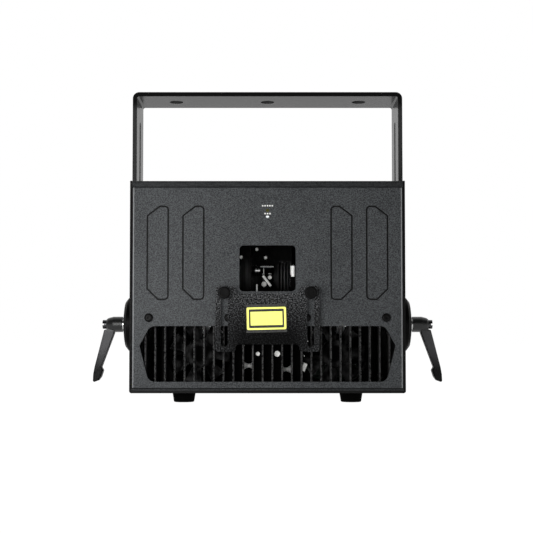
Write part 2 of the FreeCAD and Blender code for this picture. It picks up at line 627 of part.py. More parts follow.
def make_yoke():
    """Flat bar bent to a U, round at the arms' ends, with a long slot in each arm and holes in its top."""
    outer, inner = f"({ARM} + bar_thick)", ARM
    top = up("yoke_top_up")
    foot = f"{PIVOT_Z} - bar_width / 2"
    section = [
        (f"-{outer}", foot), (f"-{outer}", top), (outer, top), (outer, foot),
        (inner, foot), (inner, f"{top} - bar_thick"),
        (f"-{inner}", f"{top} - bar_thick"), (f"-{inner}", foot),
    ]
    bent = padded("yoke_bar", "xz", f"{PIVOT_Y} + bar_width / 2", "bar_width", section,
                  [("yoke_bend + bar_thick", (1, 2)), ("yoke_bend", (5, 6))])
    across = (f"-{outer} - overrun", f"{outer} + overrun")
    start, length = (across[0], PIVOT_Y, PIVOT_Z), f"{outer} * 2 + overrun * 2"
    keep = joined("yoke_side_view", [
        block("yoke_arm_view", across, about(PIVOT_Y, "bar_width"), (PIVOT_Z, f"{top} + overrun")),
        rod("yoke_end_view", "+x", start, "bar_width / 2", length),
    ])
    strap = doc.addObject("Part::Common", "yoke_strap")
    strap.Base = bent
    strap.Tool = keep
    slot_end = up("yoke_top_up - slot_head")
    slot = joined("yoke_slot", [
        block("yoke_slot_run", across, about(PIVOT_Y, "slot_half_width * 2"), (PIVOT_Z, slot_end)),
        rod("yoke_slot_low", "+x", start, "slot_half_width", length),
        rod("yoke_slot_high", "+x", (across[0], PIVOT_Y, slot_end), "slot_half_width", length),
    ])
    below = f"{top} - bar_thick - overrun"
    holes = [rod(f"yoke_hole_{index}", "+z", (f"{index} * yoke_hole_pitch", PIVOT_Y, below),
                 "yoke_hole_radius", "bar_thick + overrun * 2") for index in (-1, 0, 1)]
    named(cut("yoke_cut", strap, [slot, *holes]), "yoke")


def make_levers():
    """Clamping levers: a threaded insert, a handle that lifts off it against a spring, and its screw."""
    head = "(hub_straight + hub_taper + hub_end + collar)"
    web = "(insert_length + hub_play)"
    spring_seat = f"({web} + hub_web)"
    bore = "stud_radius + thread_play"
    thread = "lever_screw_radius + thread_play"
    insert = [
        (bore, "0"), ("insert_radius", "0"), ("insert_radius", "insert_length"), (thread, "insert_length"),
        (thread, "stud_grip + seam"), (bore, "stud_grip + seam"),
    ]
    screw = [
        ("0", "stud_grip + seam * 2"), ("lever_screw_radius", "stud_grip + seam * 2"),
        ("lever_screw_radius", head), ("lever_screw_head_radius", head),
        ("lever_screw_head_radius", f"{head} + lever_screw_head"), ("0", f"{head} + lever_screw_head"),
    ]
    spring = [("spring_inner_radius", spring_seat), ("spring_outer_radius", spring_seat),
              ("spring_outer_radius", head), ("spring_inner_radius", head)]
    at = (LEVER, PIVOT_Y, PIVOT_Z)
    for side, hand, along in ((1, "right", "+x"), (-1, "left", "-x")):
        end = (f"{side} * {LEVER}", PIVOT_Y, PIVOT_Z)
        named(turned(f"insert_{hand}", along, end, insert), f"{hand}_lever_insert")
        named(turned(f"spring_{hand}", along, end, spring), f"{hand}_lever_spring")
    body = turned("lever_screw_body", "+x", at, screw)
    slot_start = f"{LEVER} + {head} + lever_screw_head"
    notch_x = (f"{slot_start} - lever_screw_slot_depth", f"{slot_start} + overrun")
    notch_y = about(PIVOT_Y, "lever_screw_head_radius * 2 + overrun")
    notch = block("lever_screw_notch", notch_x, notch_y, about(PIVOT_Z, "lever_screw_slot"))
    right_screw = named(cut("lever_screw_right", body, [notch]), "right_lever_screw")
    named(mirrored("lever_screw_left", right_screw), "left_lever_screw")
    hub = turned("lever_hub", "+x", at, [
        ("0", "collar"), ("hub_radius", "collar"), ("hub_radius", "collar + hub_straight"),
        ("hub_taper_radius", "collar + hub_straight + hub_taper"), ("hub_end_radius", head), ("0", head),
    ])
    arm_points = [(f"{LEVER} + collar + lever_reach * {out}", f"{PIVOT_Z} - lever_drop * {drop}")
                  for out, drop in LEVER_SHARES]
    arm = padded("lever_arm", "xz", f"{PIVOT_Y} + lever_half_width", "lever_half_width * 2", arm_points)
    tip = number(f"{PIVOT_Z} - hub_radius")
    rounded(arm, "lever_round", lambda edge: edge.CenterOfMass.z < tip and is_level(edge))
    past_head = f"{head} + lever_screw_head + overrun"
    shank_bore = "lever_screw_radius + lever_screw_play"
    head_bore = "lever_screw_head_radius + lever_screw_play"
    hollow = turned("lever_hollow", "+x", at, [
        ("0", "0"), ("insert_radius + hub_play", "0"), ("insert_radius + hub_play", web),
        (shank_bore, web), (shank_bore, spring_seat), (head_bore, spring_seat),
        (head_bore, past_head), ("0", past_head),
    ])
    handle = cut("lever_handle_right", joined("lever_handle_whole", [hub, arm]), [hollow])
    named(handle, "right_lever_handle")
    named(mirrored("lever_handle_left", handle), "left_lever_handle")


def make_mask():
    """Sliding plate that closes the window from below, its plain yellow plate, spacers and thumb screws."""
    low, high = up("mask_low_up"), up("mask_high_up")
    right = [
        ("mask_web_half", f"{low} + mask_rise"), ("mask_web_half", low), ("mask_half_width", low),
        ("mask_half_width", high), ("mask_web_half", high), ("mask_web_half", f"{high} - mask_rise"),
    ]
    left = [(f"-{x}", z) for x, z in reversed(right)]
    back = behind("-mask_gap")
    curve = f"mask_rise * {MASK_CURVE_SHARE}"
    blank = padded("mask_blank", "xz", back, "mask", right + left,
                   [("mask_corner", (2, 3, 8, 9)), (curve, (0, 1, 4, 5, 6, 7, 10, 11))])
    slots = []
    for side, hand in ((-1, "left"), (1, "right")):
        x = f"{side} * mask_slot_x"
        start, depth = f"{back} + overrun", "mask + overrun * 2"
        run = block(f"mask_slot_run_{hand}", about(x, "mask_slot_half * 2"),
                    (f"{back} - mask - overrun", start), (up("mask_slot_low_up"), up("thumb_up")))
        ends = [rod(f"mask_slot_{end}_{hand}", "-y", (x, start, up(end)), "mask_slot_half", depth)
                for end in ("mask_slot_low_up", "thumb_up")]
        slots.append(joined(f"mask_slot_{hand}", [run, *ends]))
    named(cut("mask_cut", blank, slots), "aperture_mask")

    half = "plate_width / 2"
    tall = "plate_height / 2"
    corners = [
        (f"plate_x + cos(plate_tilt) * {a} - sin(plate_tilt) * {b}",
         f"{up('plate_up')} + sin(plate_tilt) * {a} + cos(plate_tilt) * {b}")
        for a, b in ((f"(-{half})", f"(-{tall})"), (f"({half})", f"(-{tall})"), (f"({half})", f"({tall})"),
                     (f"(-{half})", f"({tall})"))
    ]
    named(padded("plate_blank", "xz", f"{back} - mask", "plate", corners), "mask_plate")

    clear, thick = "thumb_shank_radius + stud_play", "mask_gap - mask_play"
    spacer = [(clear, "0"), ("spacer_radius", "0"), ("spacer_radius", thick), (clear, thick)]
    seat = "(mask_gap + mask + mask_play)"
    thumb = [
        ("0", "-panel"), ("thumb_thread_radius", "-panel"), ("thumb_thread_radius", "seam"),
        ("thumb_shank_radius", "seam"), ("thumb_shank_radius", seat), ("thumb_waist_radius", seat),
        ("thumb_waist_radius", f"{seat} + thumb_waist"),
        ("thumb_radius", f"{seat} + thumb_waist + thumb_edge"),
        ("thumb_radius", f"{seat} + thumb_length - thumb_edge"),
        ("thumb_radius - thumb_edge", f"{seat} + thumb_length"), ("0", f"{seat} + thumb_length"),
    ]
    spacers = []
    for side, hand in ((-1, "left"), (1, "right")):
        at = (f"{side} * mask_slot_x", FRONT, up("thumb_up"))
        spacers.append(turned(f"spacer_{hand}", "-y", at, spacer))
        named(turned(f"thumb_{hand}", "-y", at, thumb), f"{hand}_thumb_screw")
    named(group("spacer_group", spacers), "mask_spacers")


def make_scanner():
    """Two galvanometers in a finned block, each with a mirror: one turns about Y, the other about X."""
    turn_low = (("scan_x", LOW_GALVO_Z), "low_mirror_length", "mirror", "low_mirror_tilt")
    low_back = f"({SCAN_Y} + low_mirror_depth / 2)"
    low_slab = padded("low_mirror_slab", "xz", low_back, "low_mirror_depth", tilted_slab(*turn_low))
    named(low_slab, "lower_mirror")
    turn_high = ((SCAN_Y, HIGH_GALVO_Z), "high_mirror_depth", "mirror", "high_mirror_tilt")
    high_end = "(scan_x - high_mirror_length / 2)"
    high_slab = padded("high_mirror_slab", "yz", high_end, "high_mirror_length", tilted_slab(*turn_high))
    named(high_slab, "upper_mirror")

    mount = [
        ("0", "0"), ("mount_radius", "0"), ("mount_radius", "mount_length"),
        ("galvo_shaft_radius", "mount_length"),
        ("galvo_shaft_radius", "mount_length + mount_gap + galvo_nose + shaft_sink"),
        ("0", "mount_length + mount_gap + galvo_nose + shaft_sink"),
    ]
    bore = "galvo_shaft_radius + shaft_play"
    galvo = [
        (bore, "0"), ("galvo_nose_radius", "0"), ("galvo_nose_radius", "galvo_nose"),
        ("galvo_radius", "galvo_nose"), ("galvo_radius", "galvo_nose + galvo_length"),
        ("0", "galvo_nose + galvo_length"),
        ("0", "galvo_nose + shaft_sink + mount_gap"), (bore, "galvo_nose + shaft_sink + mount_gap"),
    ]
    nose = "(mount_length + mount_gap)"
    low_at = ("scan_x", low_back, LOW_GALVO_Z)
    high_at = (high_end, SCAN_Y, HIGH_GALVO_Z)
    named(turned("low_mount", "+y", low_at, mount), "lower_mirror_mount")
    named(turned("high_mount", "-x", high_at, mount), "upper_mirror_mount")
    low_nose = (low_at[0], f"{low_back} + {nose}", low_at[2])
    high_nose = (f"{high_end} - {nose}", high_at[1], high_at[2])
    named(turned("low_galvo", "+y", low_nose, galvo), "lower_galvo")
    named(turned("high_galvo", "-x", high_nose, galvo), "upper_galvo")

    wall = "(galvo_radius + scan_block_wall)"
    face = f"({low_nose[1]} + galvo_nose)"
    cheek = f"({high_nose[0]} - galvo_nose)"
    right = f"(scan_x + {wall})"
    deep = (face, f"{face} + scan_block_depth")
    top, shelf_low = f"{HIGH_GALVO_Z} + scan_block_top", f"{HIGH_GALVO_Z} + scan_shelf_up"
    arm_x = (f"{cheek} - scan_arm_length", cheek)
    fins = []
    for index in range(SCAN_FINS):
        fin_right = f"{right} + scan_fin_pitch * {index + 1}"
        fin_x = (f"{fin_right} - scan_fin", fin_right)
        fins.append(block(f"scan_fin_{index}", fin_x, deep, (BENCH_TOP, shelf_low)))
    body = joined("scan_block_whole", [
        block("scan_block_body", (arm_x[0], right), deep, (BENCH_TOP, top)),
        block("scan_block_arm", arm_x, (f"{SCAN_Y} - {wall}", face), (BENCH_TOP, top)),
        block("scan_block_shelf", (right, f"{right} + scan_shelf"), deep, (shelf_low, top)),
        *fins,
    ])
    bore_run = "galvo_nose + galvo_length + scan_block_depth"
    bores = [
        rod("scan_low_bore", "+y", low_nose, "galvo_radius + galvo_play", bore_run),
        rod("scan_high_bore", "-x", high_nose, "galvo_radius + galvo_play", bore_run),
    ]
    named(cut("scan_block_cut", body, bores), "scanner_block")


def make_bench():
    """Optical bench on posts and two slim stays at its front, with the heat sink under it."""
    x = (f"-{BENCH_HALF}", BENCH_HALF)
    y = (behind("bench_in"), f"{BACK} - bench_back")
    named(block("bench_plate", x, y, (up("bench_up"), BENCH_TOP)), "optical_bench")
    posts = []
    for side, hand in ((-1, "left"), (1, "right")):
        for end, depth in (("front", f"{y[0]} + post_inset"), ("back", f"{y[1]} - post_inset")):
            at = (f"{side} * ({BENCH_HALF} - post_inset)", depth, up("sheet"))
            posts.append(rod(f"bench_post_{hand}_{end}", "+z", at, "post_radius", "bench_up - sheet"))
    named(group("post_group", posts), "bench_posts")
    stay = [
        ("0", "0"), ("stay_foot_radius", "0"), ("stay_foot_radius", "stay_foot"),
        ("stay_radius", "stay_cone"), ("stay_radius", "bench_up - sheet"), ("0", "bench_up - sheet"),
    ]
    stays = [turned(f"stay_{hand}", "+z", (f"{side} * stay_x", f"{y[0]} + post_inset", up("sheet")), stay)
             for side, hand in ((-1, "left"), (1, "right"))]
    named(group("stay_group", stays), "bench_stays")
    base_low = "(bench_up - heat_sink_base)"
    sink_run = "case_depth - heat_sink_in - heat_sink_back"
    body = padded("sink_base", "xz", f"{BACK} - heat_sink_back", sink_run,
                  rectangle(about("0", "heat_sink_width"), (up(base_low), up("bench_up"))))
    first = "-fin_pitch * (fin_count - 1) / 2"
    fin = body.newObject("PartDesign::Pad", "sink_fin")
    fin.Profile = outline(body, "sink_fin_outline", "xz",
                          rectangle(about(first, "fin"), (up(f"{base_low} - fin_height"), up("bench_up"))))
    bind(fin, Length=sink_run)
    pattern = body.newObject("PartDesign::LinearPattern", "sink_fins")
    pattern.Originals = [fin]
    pattern.Direction = (origin_part(body, "X_Axis"), [""])
    bind(pattern, Length="fin_pitch * (fin_count - 1)", Occurrences="fin_count")
    body.Tip = pattern
    named(body, "heat_sink")


def make_lasers():
    """Three laser modules with beam noses, their combining mirrors and the mirror that steers the beam."""
    for place_in_row, colour in ((-1, "red"), (0, "green"), (1, "blue")):
        x = f"({place_in_row} * module_pitch)"
        deep = (behind("module_in"), f"{BACK} - module_back")
        tall = (BENCH_TOP, f"{BENCH_TOP} + module_height")
        case = block(f"{colour}_case", about(x, "module_width"), deep, tall)
        start = (x, behind("module_in - module_nose"), f"{BENCH_TOP} + module_nose_up")
        nose = rod(f"{colour}_nose", "+y", start, "module_nose_radius", "module_nose")
        named(joined(f"{colour}_whole", [case, nose]), f"{colour}_laser_module")
    bases, panes = [], []
    for place_in_row in (-1, 0, 1):
        x = f"({place_in_row} * module_pitch)"
        base_top = f"{BENCH_TOP} + combiner_base"
        bases.append(block(f"combiner_base_{place_in_row + 1}", about(x, "combiner_base_width"),
                           about(behind("combiner_in"), "combiner_base_width"), (BENCH_TOP, base_top)))
        edge_on = tilted_slab((x, behind("combiner_in")), "combiner_width", "combiner", "combiner_tilt")
        pane = f"combiner_pane_{place_in_row + 1}"
        panes.append(padded(pane, "xy", base_top, "combiner_height", edge_on))
    steer_low, steer_high = f"{LOW_GALVO_Z} - steer_height / 2", f"{LOW_GALVO_Z} + steer_height / 2"
    upright_back = f"{SCAN_Y} - steer_width / 2 - steer_gap"
    upright_y = (f"{upright_back} - steer_upright", upright_back)
    holder = joined("steer_holder", [
        block("steer_foot", about("steer_x", "steer_base"), (upright_y[0], f"{SCAN_Y} + steer_base / 2"),
              (BENCH_TOP, steer_low)),
        block("steer_back", about("steer_x", "steer_upright_width"), upright_y, (BENCH_TOP, steer_high)),
    ])
    bases.append(holder)
    panes.append(padded("steer_pane", "xy", steer_low, "steer_height",
                        tilted_slab(("steer_x", SCAN_Y), "steer_width", "combiner", "combiner_tilt")))
    named(group("combiner_base_group", bases), "combiner_bases")
    named(group("combiner_pane_group", panes), "combiner_mirrors")


def make_electronics():
    """Galvanometer drivers on the bench, power supply and control board on the case floor."""
    drivers = [block(f"driver_{index}", about(f"{side} * ({SIDE} - driver_side)", "driver_width"),
                     (behind("driver_in"), behind("driver_in + driver_depth")),
                     (BENCH_TOP, f"{BENCH_TOP} + driver_height")) for index, side in enumerate((-1, 1))]
    named(group("driver_group", drivers), "galvo_drivers")
    supply = block("supply_case", (f"supply_side - {SIDE}", "-supply_mid_gap"),
                   (behind("supply_in"), behind("supply_in + supply_depth")),
                   (up("sheet"), up("sheet + supply_height")))
    named(supply, "power_supply")
    low = up("sheet + board_post")
    x, y = ("board_mid_gap", f"{SIDE} - board_side"), (behind("board_in"), behind("board_in + board_depth"))
    board = block("control_plate", x, y, (low, f"{low} + board_thick"))
    parts = block("control_parts", (f"{x[0]} + board_parts_margin", f"{x[1]} - board_parts_margin"),
                  (f"{y[0]} + board_parts_margin", f"{y[1]} - board_parts_margin"),
                  (f"{low} + board_thick", f"{low} + board_thick + board_parts"))
    posts = []
    for column, post_x in enumerate((f"{x[0]} + board_post_inset", f"{x[1]} - board_post_inset")):
        for line, post_y in enumerate((f"{y[0]} + board_post_inset", f"{y[1]} - board_post_inset")):
            at = (post_x, post_y, up("sheet"))
            posts.append(rod(f"control_post_{column}_{line}", "+z", at, "board_post_radius", "board_post"))
    named(joined("control_whole", [board, parts, *posts]), "control_board")


def fan_places():
    """A fan behind each half of the vent."""
    return [("left", "(-fan_x)"), ("right", "fan_x")]


def make_fans():
    """Fan frames on a bent bracket, and a rotor with twisted blades in each frame."""
    bracket_in = "(fan_in - fan_bracket)"
    width = "fan_x * 2 + fan_size + fan_bracket_margin * 2"
    top = up("fan_up + fan_size / 2 + fan_bracket_margin")
    x, front = about("0", width), behind(bracket_in)
    plate = block("bracket_plate", x, (front, behind("fan_in")), (up("sheet"), top))
    foot = block("bracket_foot", x, (front, f"{front} + fan_bracket_foot"),
                 (up("sheet"), up("sheet + fan_bracket")))
    holes, frames = [], []
    centre_z = up("fan_up")
    for name, x in fan_places():
        at = (x, behind("fan_in - fan_bracket - overrun"), centre_z)
        holes.append(rod(f"bracket_hole_{name}", "+y", at, "fan_bore_radius", "fan_bracket + overrun * 2"))
        frames.append(make_fan_frame(f"fan_{name}", x, centre_z))
        make_rotor(f"{name}_fan_rotor", x, centre_z)
    deep = (behind("fan_in - fan_bracket - overrun"), behind("fan_in + overrun"))
    for side, hand in ((-1, "left"), (1, "right")):
        holes.append(block(f"bracket_sight_{hand}", about(f"{side} * stay_x", "sight_width"), deep,
                           (up("sight_low_up"), up("sight_high_up"))))
    bracket = joined("bracket_whole", [plate, foot])
    named(cut("bracket_cut", bracket, holes), "fan_bracket")
    named(group("fan_frame_group", frames), "fan_frames")


def make_fan_frame(name, x, z):
    """Square frame with a round duct, and a hub on four struts at its back that carries the rotor's pin."""
    back = behind("fan_in + fan_depth")
    square = rectangle(about(x, "fan_size"), about(z, "fan_size"))
    shell = padded(f"{name}_square", "xz", back, "fan_depth", square, [("fan_corner", (0, 1, 2, 3))])
    mouth = (x, behind("fan_in - overrun"), z)
    duct = rod(f"{name}_duct", "+y", mouth, "fan_bore_radius", "fan_depth + overrun * 2")
    ring = cut(f"{name}_ring", shell, [duct])
    base = (f"{back} - fan_base", back)
    hub = rod(f"{name}_hub", "+y", (x, base[0], z), "rotor_hub_radius", "fan_base")
    strut_run = "fan_bore_radius + fan_size / 2"
    struts = [
        block(f"{name}_strut_level", about(x, strut_run), base, about(z, "fan_strut")),
        block(f"{name}_strut_upright", about(x, "fan_strut"), base, about(z, strut_run)),
    ]
    whole = joined(f"{name}_whole", [ring, hub, *struts])
    bore = rod(f"{name}_bore", "+y", (x, f"{base[0]} - overrun", z), "rotor_pin_radius + pin_play",
               "fan_base + overrun * 2")
    return cut(f"{name}_frame", whole, [bore])


def blade_section(chord, pitch):
    """A blade cut across: a thin slab pitched to the fan's axis."""
    return tilted_slab(("0", "rotor_hub / 2"), chord, "blade", pitch)


def make_rotor(label, x, z):
    """Fan rotor: a hub with a pin that runs in the frame, and a ring of twisted blades."""
    back = behind("fan_in + fan_depth - fan_base - rotor_gap")
    body = turned(f"{label}_body", "-y", (x, back, z), [
        ("0", "-rotor_gap - fan_base"), ("rotor_pin_radius", "-rotor_gap - fan_base"),
        ("rotor_pin_radius", "0"), ("rotor_hub_radius", "0"),
        ("rotor_hub_radius", "rotor_hub - rotor_hub_round"),
        ("rotor_hub_radius - rotor_hub_round", "rotor_hub"), ("0", "rotor_hub"),
    ])
    root = outline(body, f"{label}_root", "yz", blade_section("blade_root_chord", "blade_root_pitch"),
                   "rotor_hub_radius - blade_sink")
    reach = "sqrt((fan_bore_radius - blade_gap) ^ 2 - (blade_tip_chord / 2) ^ 2)"
    tip = outline(body, f"{label}_tip", "yz", blade_section("blade_tip_chord", "blade_tip_pitch"), reach)
    blade = body.newObject("PartDesign::AdditiveLoft", f"{label}_blade")
    blade.Profile = root
    blade.Sections = [tip]
    ring = body.newObject("PartDesign::PolarPattern", f"{label}_blades")
    ring.Originals = [blade]
    ring.Axis = (origin_part(body, "Z_Axis"), [""])
    ring.Angle = 360
    bind(ring, Occurrences="blade_count")
    body.Tip = ring
    named(body, label)


def make_rear_panel():
    """Rear plate with a row of vent slots and cut-outs for the sockets and the key switch."""
    plate = padded("rear_plate", "xz", BACK, "rear_panel",
                   rectangle((f"-{PANEL_HALF}", PANEL_HALF), (PANEL_LOW, PANEL_HIGH)))
    first = f"-rear_slot_pitch * ({REAR_SLOTS} - 1) / 2"
    pocket = plate.newObject("PartDesign::Pocket", "rear_slot")
    slot = rectangle(about(first, "rear_slot"),
                     (up("rear_slot_up"), up("rear_slot_up + rear_slot_height")))
    pocket.Profile = outline(plate, "rear_slot_outline", "xz", slot)
    pocket.Type = "ThroughAll"
    pocket.Reversed = True
    row = plate.newObject("PartDesign::LinearPattern", "rear_slots")
    row.Originals = [pocket]
    row.Direction = (origin_part(plate, "X_Axis"), [""])
    bind(row, Length=f"rear_slot_pitch * ({REAR_SLOTS} - 1)", Occurrences=REAR_SLOTS)
    plate.Tip = row
    deep = (f"{BACK} - rear_panel - overrun", f"{BACK} + overrun")
    play = "cutout_play * 2"
    tools = [
        block("rear_inlet_hole", about(INLET_X, f"inlet_width + {play}"), deep,
              about(up("socket_up"), f"inlet_height + {play}")),
        block("rear_signal_hole", about(SIGNAL_X, f"signal_half_high * 2 + {play}"), deep,
              about(up("socket_up"), f"signal_height + {play}")),
        block("rear_network_hole", about(NETWORK_X, f"network_width + {play}"), deep,
              about(up("socket_up"), f"network_height + {play}")),
        rod("rear_key_hole", "+y", (KEY_X, deep[0], up("socket_up")), "key_barrel_radius + cutout_play",
            "rear_panel + overrun * 2"),
    ]
    for index, (x, z) in enumerate(rear_screw_places()):
        tools.append(rod(f"rear_screw_hole_{index}", "+y", (x, deep[0], z), "screw_radius + thread_play",
                         "rear_panel + overrun * 2"))
    named(cut("rear_cut", plate, tools), "rear_panel")
    screws = [make_screw(f"rear_screw_{index}", "+y", (x, BACK, z), "rear_screw_reach")
              for index, (x, z) in enumerate(rear_screw_places())]
    named(group("rear_screw_group", screws), "rear_screws")


def rear_screw_places():
    """One screw near each corner of the rear panel."""
    return [(f"{side} * ({SIDE} - rear_screw_side)", z)
            for side in (-1, 1) for z in (up("rear_screw_low_up"), down("rear_screw_high_down"))]


def make_sockets():
    """Mains inlet with its three pins, a signal socket and a network socket, each through the rear panel."""
    z = up("socket_up")
    outside = (BACK, f"{BACK} + flange")
    inside = (f"{BACK} - inlet_depth", BACK)
    inlet = joined("inlet_whole", [
        block("inlet_flange", about(INLET_X, "inlet_flange_width"), outside,
              about(z, "inlet_flange_height")),
        block("inlet_body", about(INLET_X, "inlet_width"), inside, about(z, "inlet_height")),
    ])
    floor = f"({BACK} + flange - inlet_well)"
    well_y = (floor, f"{BACK} + flange + overrun")
    well = block("inlet_well_cut", about(INLET_X, "inlet_well_width"), well_y, about(z, "inlet_well_height"))
    pin_y = (floor, f"{floor} + inlet_pin")
    pins = [block(f"inlet_pin_{index}", about(f"{INLET_X} + {index} * inlet_pin_pitch", "inlet_pin_width"),
                  pin_y, about(z, "inlet_pin_height")) for index in (-1, 0, 1)]
    named(cut("inlet_hollow", inlet, [well]), "mains_inlet")
    named(group("inlet_pin_group", pins), "inlet_pins")

    low, high = f"{z} - signal_height / 2", f"{z} + signal_height / 2"
    nose = padded("signal_nose", "xz", f"{BACK} + signal_proud", "signal_proud + signal_depth", [
        (f"{SIGNAL_X} - signal_half_low", low), (f"{SIGNAL_X} + signal_half_low", low),
        (f"{SIGNAL_X} + signal_half_high", high), (f"{SIGNAL_X} - signal_half_high", high)])
    flange = block("signal_flange", about(SIGNAL_X, "signal_flange_width"), (BACK, f"{BACK} + sheet"),
                   about(z, "signal_flange_height"))
    named(joined("signal_whole", [nose, flange]), "signal_socket")

    mouth = f"({BACK} + network_proud)"
    shell = block("network_shell", about(NETWORK_X, "network_width"),
                  (f"{mouth} - network_depth", mouth), about(z, "network_height"))
    hollow = block("network_hollow", about(NETWORK_X, "network_well_width"),
                   (f"{mouth} - network_well", f"{mouth} + overrun"), about(z, "network_well_height"))
    named(cut("network_cut", shell, [hollow]), "network_socket")


def make_key_switch():
    """Key switch in the rear panel, and the key that turns in it."""
    at = (KEY_X, BACK, up("socket_up"))
    switch = turned("switch_body", "+y", at, [
        ("0", "-key_barrel"), ("key_barrel_radius", "-key_barrel"), ("key_barrel_radius", "0"),
        ("key_ring_radius", "0"), ("key_ring_radius", "key_ring - key_ring_round"),
        ("key_ring_radius - key_ring_round", "key_ring"), ("key_slot_radius", "key_ring"),
        ("key_slot_radius", "key_ring - key_slot"), ("0", "key_ring - key_slot"),
    ])
    named(switch, "key_switch")
    plug = turned("key_plug", "+y", at, [
        ("0", "key_ring - key_slot + seam"), ("key_plug_radius", "key_ring - key_slot + seam"),
        ("key_plug_radius", "key_ring + seam"), ("0", "key_ring + seam")])
    start = f"({BACK} + key_ring + seam)"
    bow = padded("key_bow_plate", "xy", f"{at[2]} - key_bow_height / 2", "key_bow_height",
                 rectangle(about(KEY_X, "key_bow_width"), (start, f"{start} + key_bow")),
                 [("key_bow_round", (0, 1, 2, 3))])
    eye_at = (KEY_X, f"{start} + key_bow * {KEY_EYE_SHARE}", f"{at[2]} - key_bow_height")
    eye = rod("key_eye", "+z", eye_at, "key_hole_radius", "key_bow_height * 2")
    named(cut("key_cut", joined("key_whole", [plug, bow]), [eye]), "key")


make_case_shell()
make_top_lid()
make_front_panel()
make_front_screws()
make_vent_grille()
make_window()
make_lamps()
make_feet()
make_pivot()
make_yoke()
make_levers()
make_mask()
make_scanner()
make_bench()
make_lasers()
make_electronics()
make_fans()
make_rear_panel()
make_sockets()
make_key_switch()
doc.recompute()

faults = [piece.Label for piece in doc.Objects if {"Invalid", "Error"} & set(piece.State)]
for piece in nodes:
    if piece.Shape.isNull() or not piece.Shape.isValid():
        faults.append(piece.Label)
if faults:
    raise RuntimeError(f"not built: {', '.join(faults)}")
os.makedirs("parts", exist_ok=True)
for piece in nodes:
    piece.Shape.exportStep(f"parts/{piece.Label}.step")
print(f"{len(nodes)} pieces, {sum(len(piece.Shape.Solids) for piece in nodes)} solids")
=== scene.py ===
# %% [markdown]
# # A laser show projector in a studio
#
# The projector is a black sheet-metal box hung in a U-shaped yoke. Its solids come from a CAD model and are
# already the right size and in the right place, so this lesson is about looks: what each surface is made of
# on the real object, how Blender can show that, and which small turned pieces are worth adding.

# %% Load the projector
import math
import bmesh
import bpy
import numpy as np
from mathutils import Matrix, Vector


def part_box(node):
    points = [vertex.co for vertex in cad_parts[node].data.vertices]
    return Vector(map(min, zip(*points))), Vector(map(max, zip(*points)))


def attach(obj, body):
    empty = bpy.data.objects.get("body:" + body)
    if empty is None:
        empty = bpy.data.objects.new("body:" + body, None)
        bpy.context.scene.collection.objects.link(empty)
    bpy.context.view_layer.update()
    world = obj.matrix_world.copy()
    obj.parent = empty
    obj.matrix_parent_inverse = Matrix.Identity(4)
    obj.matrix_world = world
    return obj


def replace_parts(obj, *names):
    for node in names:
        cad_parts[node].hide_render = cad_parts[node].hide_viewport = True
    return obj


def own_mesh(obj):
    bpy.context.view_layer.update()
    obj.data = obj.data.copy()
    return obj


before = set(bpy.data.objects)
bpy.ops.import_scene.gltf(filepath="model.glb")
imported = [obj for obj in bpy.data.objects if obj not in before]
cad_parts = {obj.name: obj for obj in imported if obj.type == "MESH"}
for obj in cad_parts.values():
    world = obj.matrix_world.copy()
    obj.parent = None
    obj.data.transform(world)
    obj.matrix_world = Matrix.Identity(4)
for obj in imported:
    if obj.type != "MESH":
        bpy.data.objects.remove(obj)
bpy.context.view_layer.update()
front_y, back_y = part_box("front_panel")[0][1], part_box("rear_panel")[1][1]


def middle(node):
    """Middle of a CAD piece's box."""
    return np.mean(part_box(node), axis=0)


# %% [markdown]
# ## The camera
#
# A product photograph is taken from far away with a long lens, so that the box's sides stay upright. The
# vanishing point of the yoke's arms gives the height of the lens, just above the feet, and the widths of
# the yoke's front and back edges give its distance. The camera looks up by about two degrees, and a small
# shift of the sensor does the rest, as in a view camera.

# %% Place the camera
studio = bpy.context.scene.collection
camera = bpy.data.objects.new("camera", bpy.data.cameras.new("camera"))
studio.objects.link(camera)
camera.data.sensor_width = 36
camera.data.lens = 70.84
camera.data.shift_x, camera.data.shift_y = -0.0019, 0.0535
camera.location = (0, -1.026, 0.0571)
camera.rotation_euler = (math.radians(92.3), 0, 0)
bpy.context.scene.camera = camera
bpy.context.scene.view_settings.view_transform = "Standard"
print("camera", round(camera.location.y, 3), "m in front, lens", round(camera.data.lens, 1), "mm")

# %% [markdown]
# ## Helpers for shaders
#
# Every finish below is a small network of nodes, and a few helpers keep the cells short. The first adds a
# node and feeds its inputs: what comes from another node is linked, and anything else is a plain value.

# %% Adding nodes
def feed(tree, node, inputs):
    """Feeds a node's inputs with links or plain values."""
    for name, value in dict(inputs).items():
        if isinstance(value, bpy.types.NodeSocket):
            tree.links.new(value, node.inputs[name])
        else:
            node.inputs[name].default_value = value


def add(tree, kind, inputs=(), **settings):
    """Adds one shader node with its settings and feeds its inputs."""
    node = tree.nodes.new("ShaderNode" + kind)
    for name, value in settings.items():
        setattr(node, name, value)
    feed(tree, node, inputs)
    return node


print("nodes can be added")

# %% [markdown]
# The nodes that come up most get helpers that return their output. A Mix node has sockets for every kind of
# value at once, so a small table says which belong to colours and which to numbers.

# %% Common nodes
MIX_SOCKETS = {"RGBA": (6, 7, 2), "FLOAT": (2, 3, 0)}


def calc(tree, operation, *values, **settings):
    """Output of a Math node that works on the values in their order."""
    return add(tree, "Math", dict(enumerate(values)), operation=operation, **settings).outputs[0]


def vec(tree, operation, *values):
    """Output of a Vector Math node: a number for a length or a dot product, otherwise a vector."""
    node = add(tree, "VectorMath", dict(enumerate(values)), operation=operation)
    return node.outputs["Value" if operation in ("LENGTH", "DOT_PRODUCT") else "Vector"]


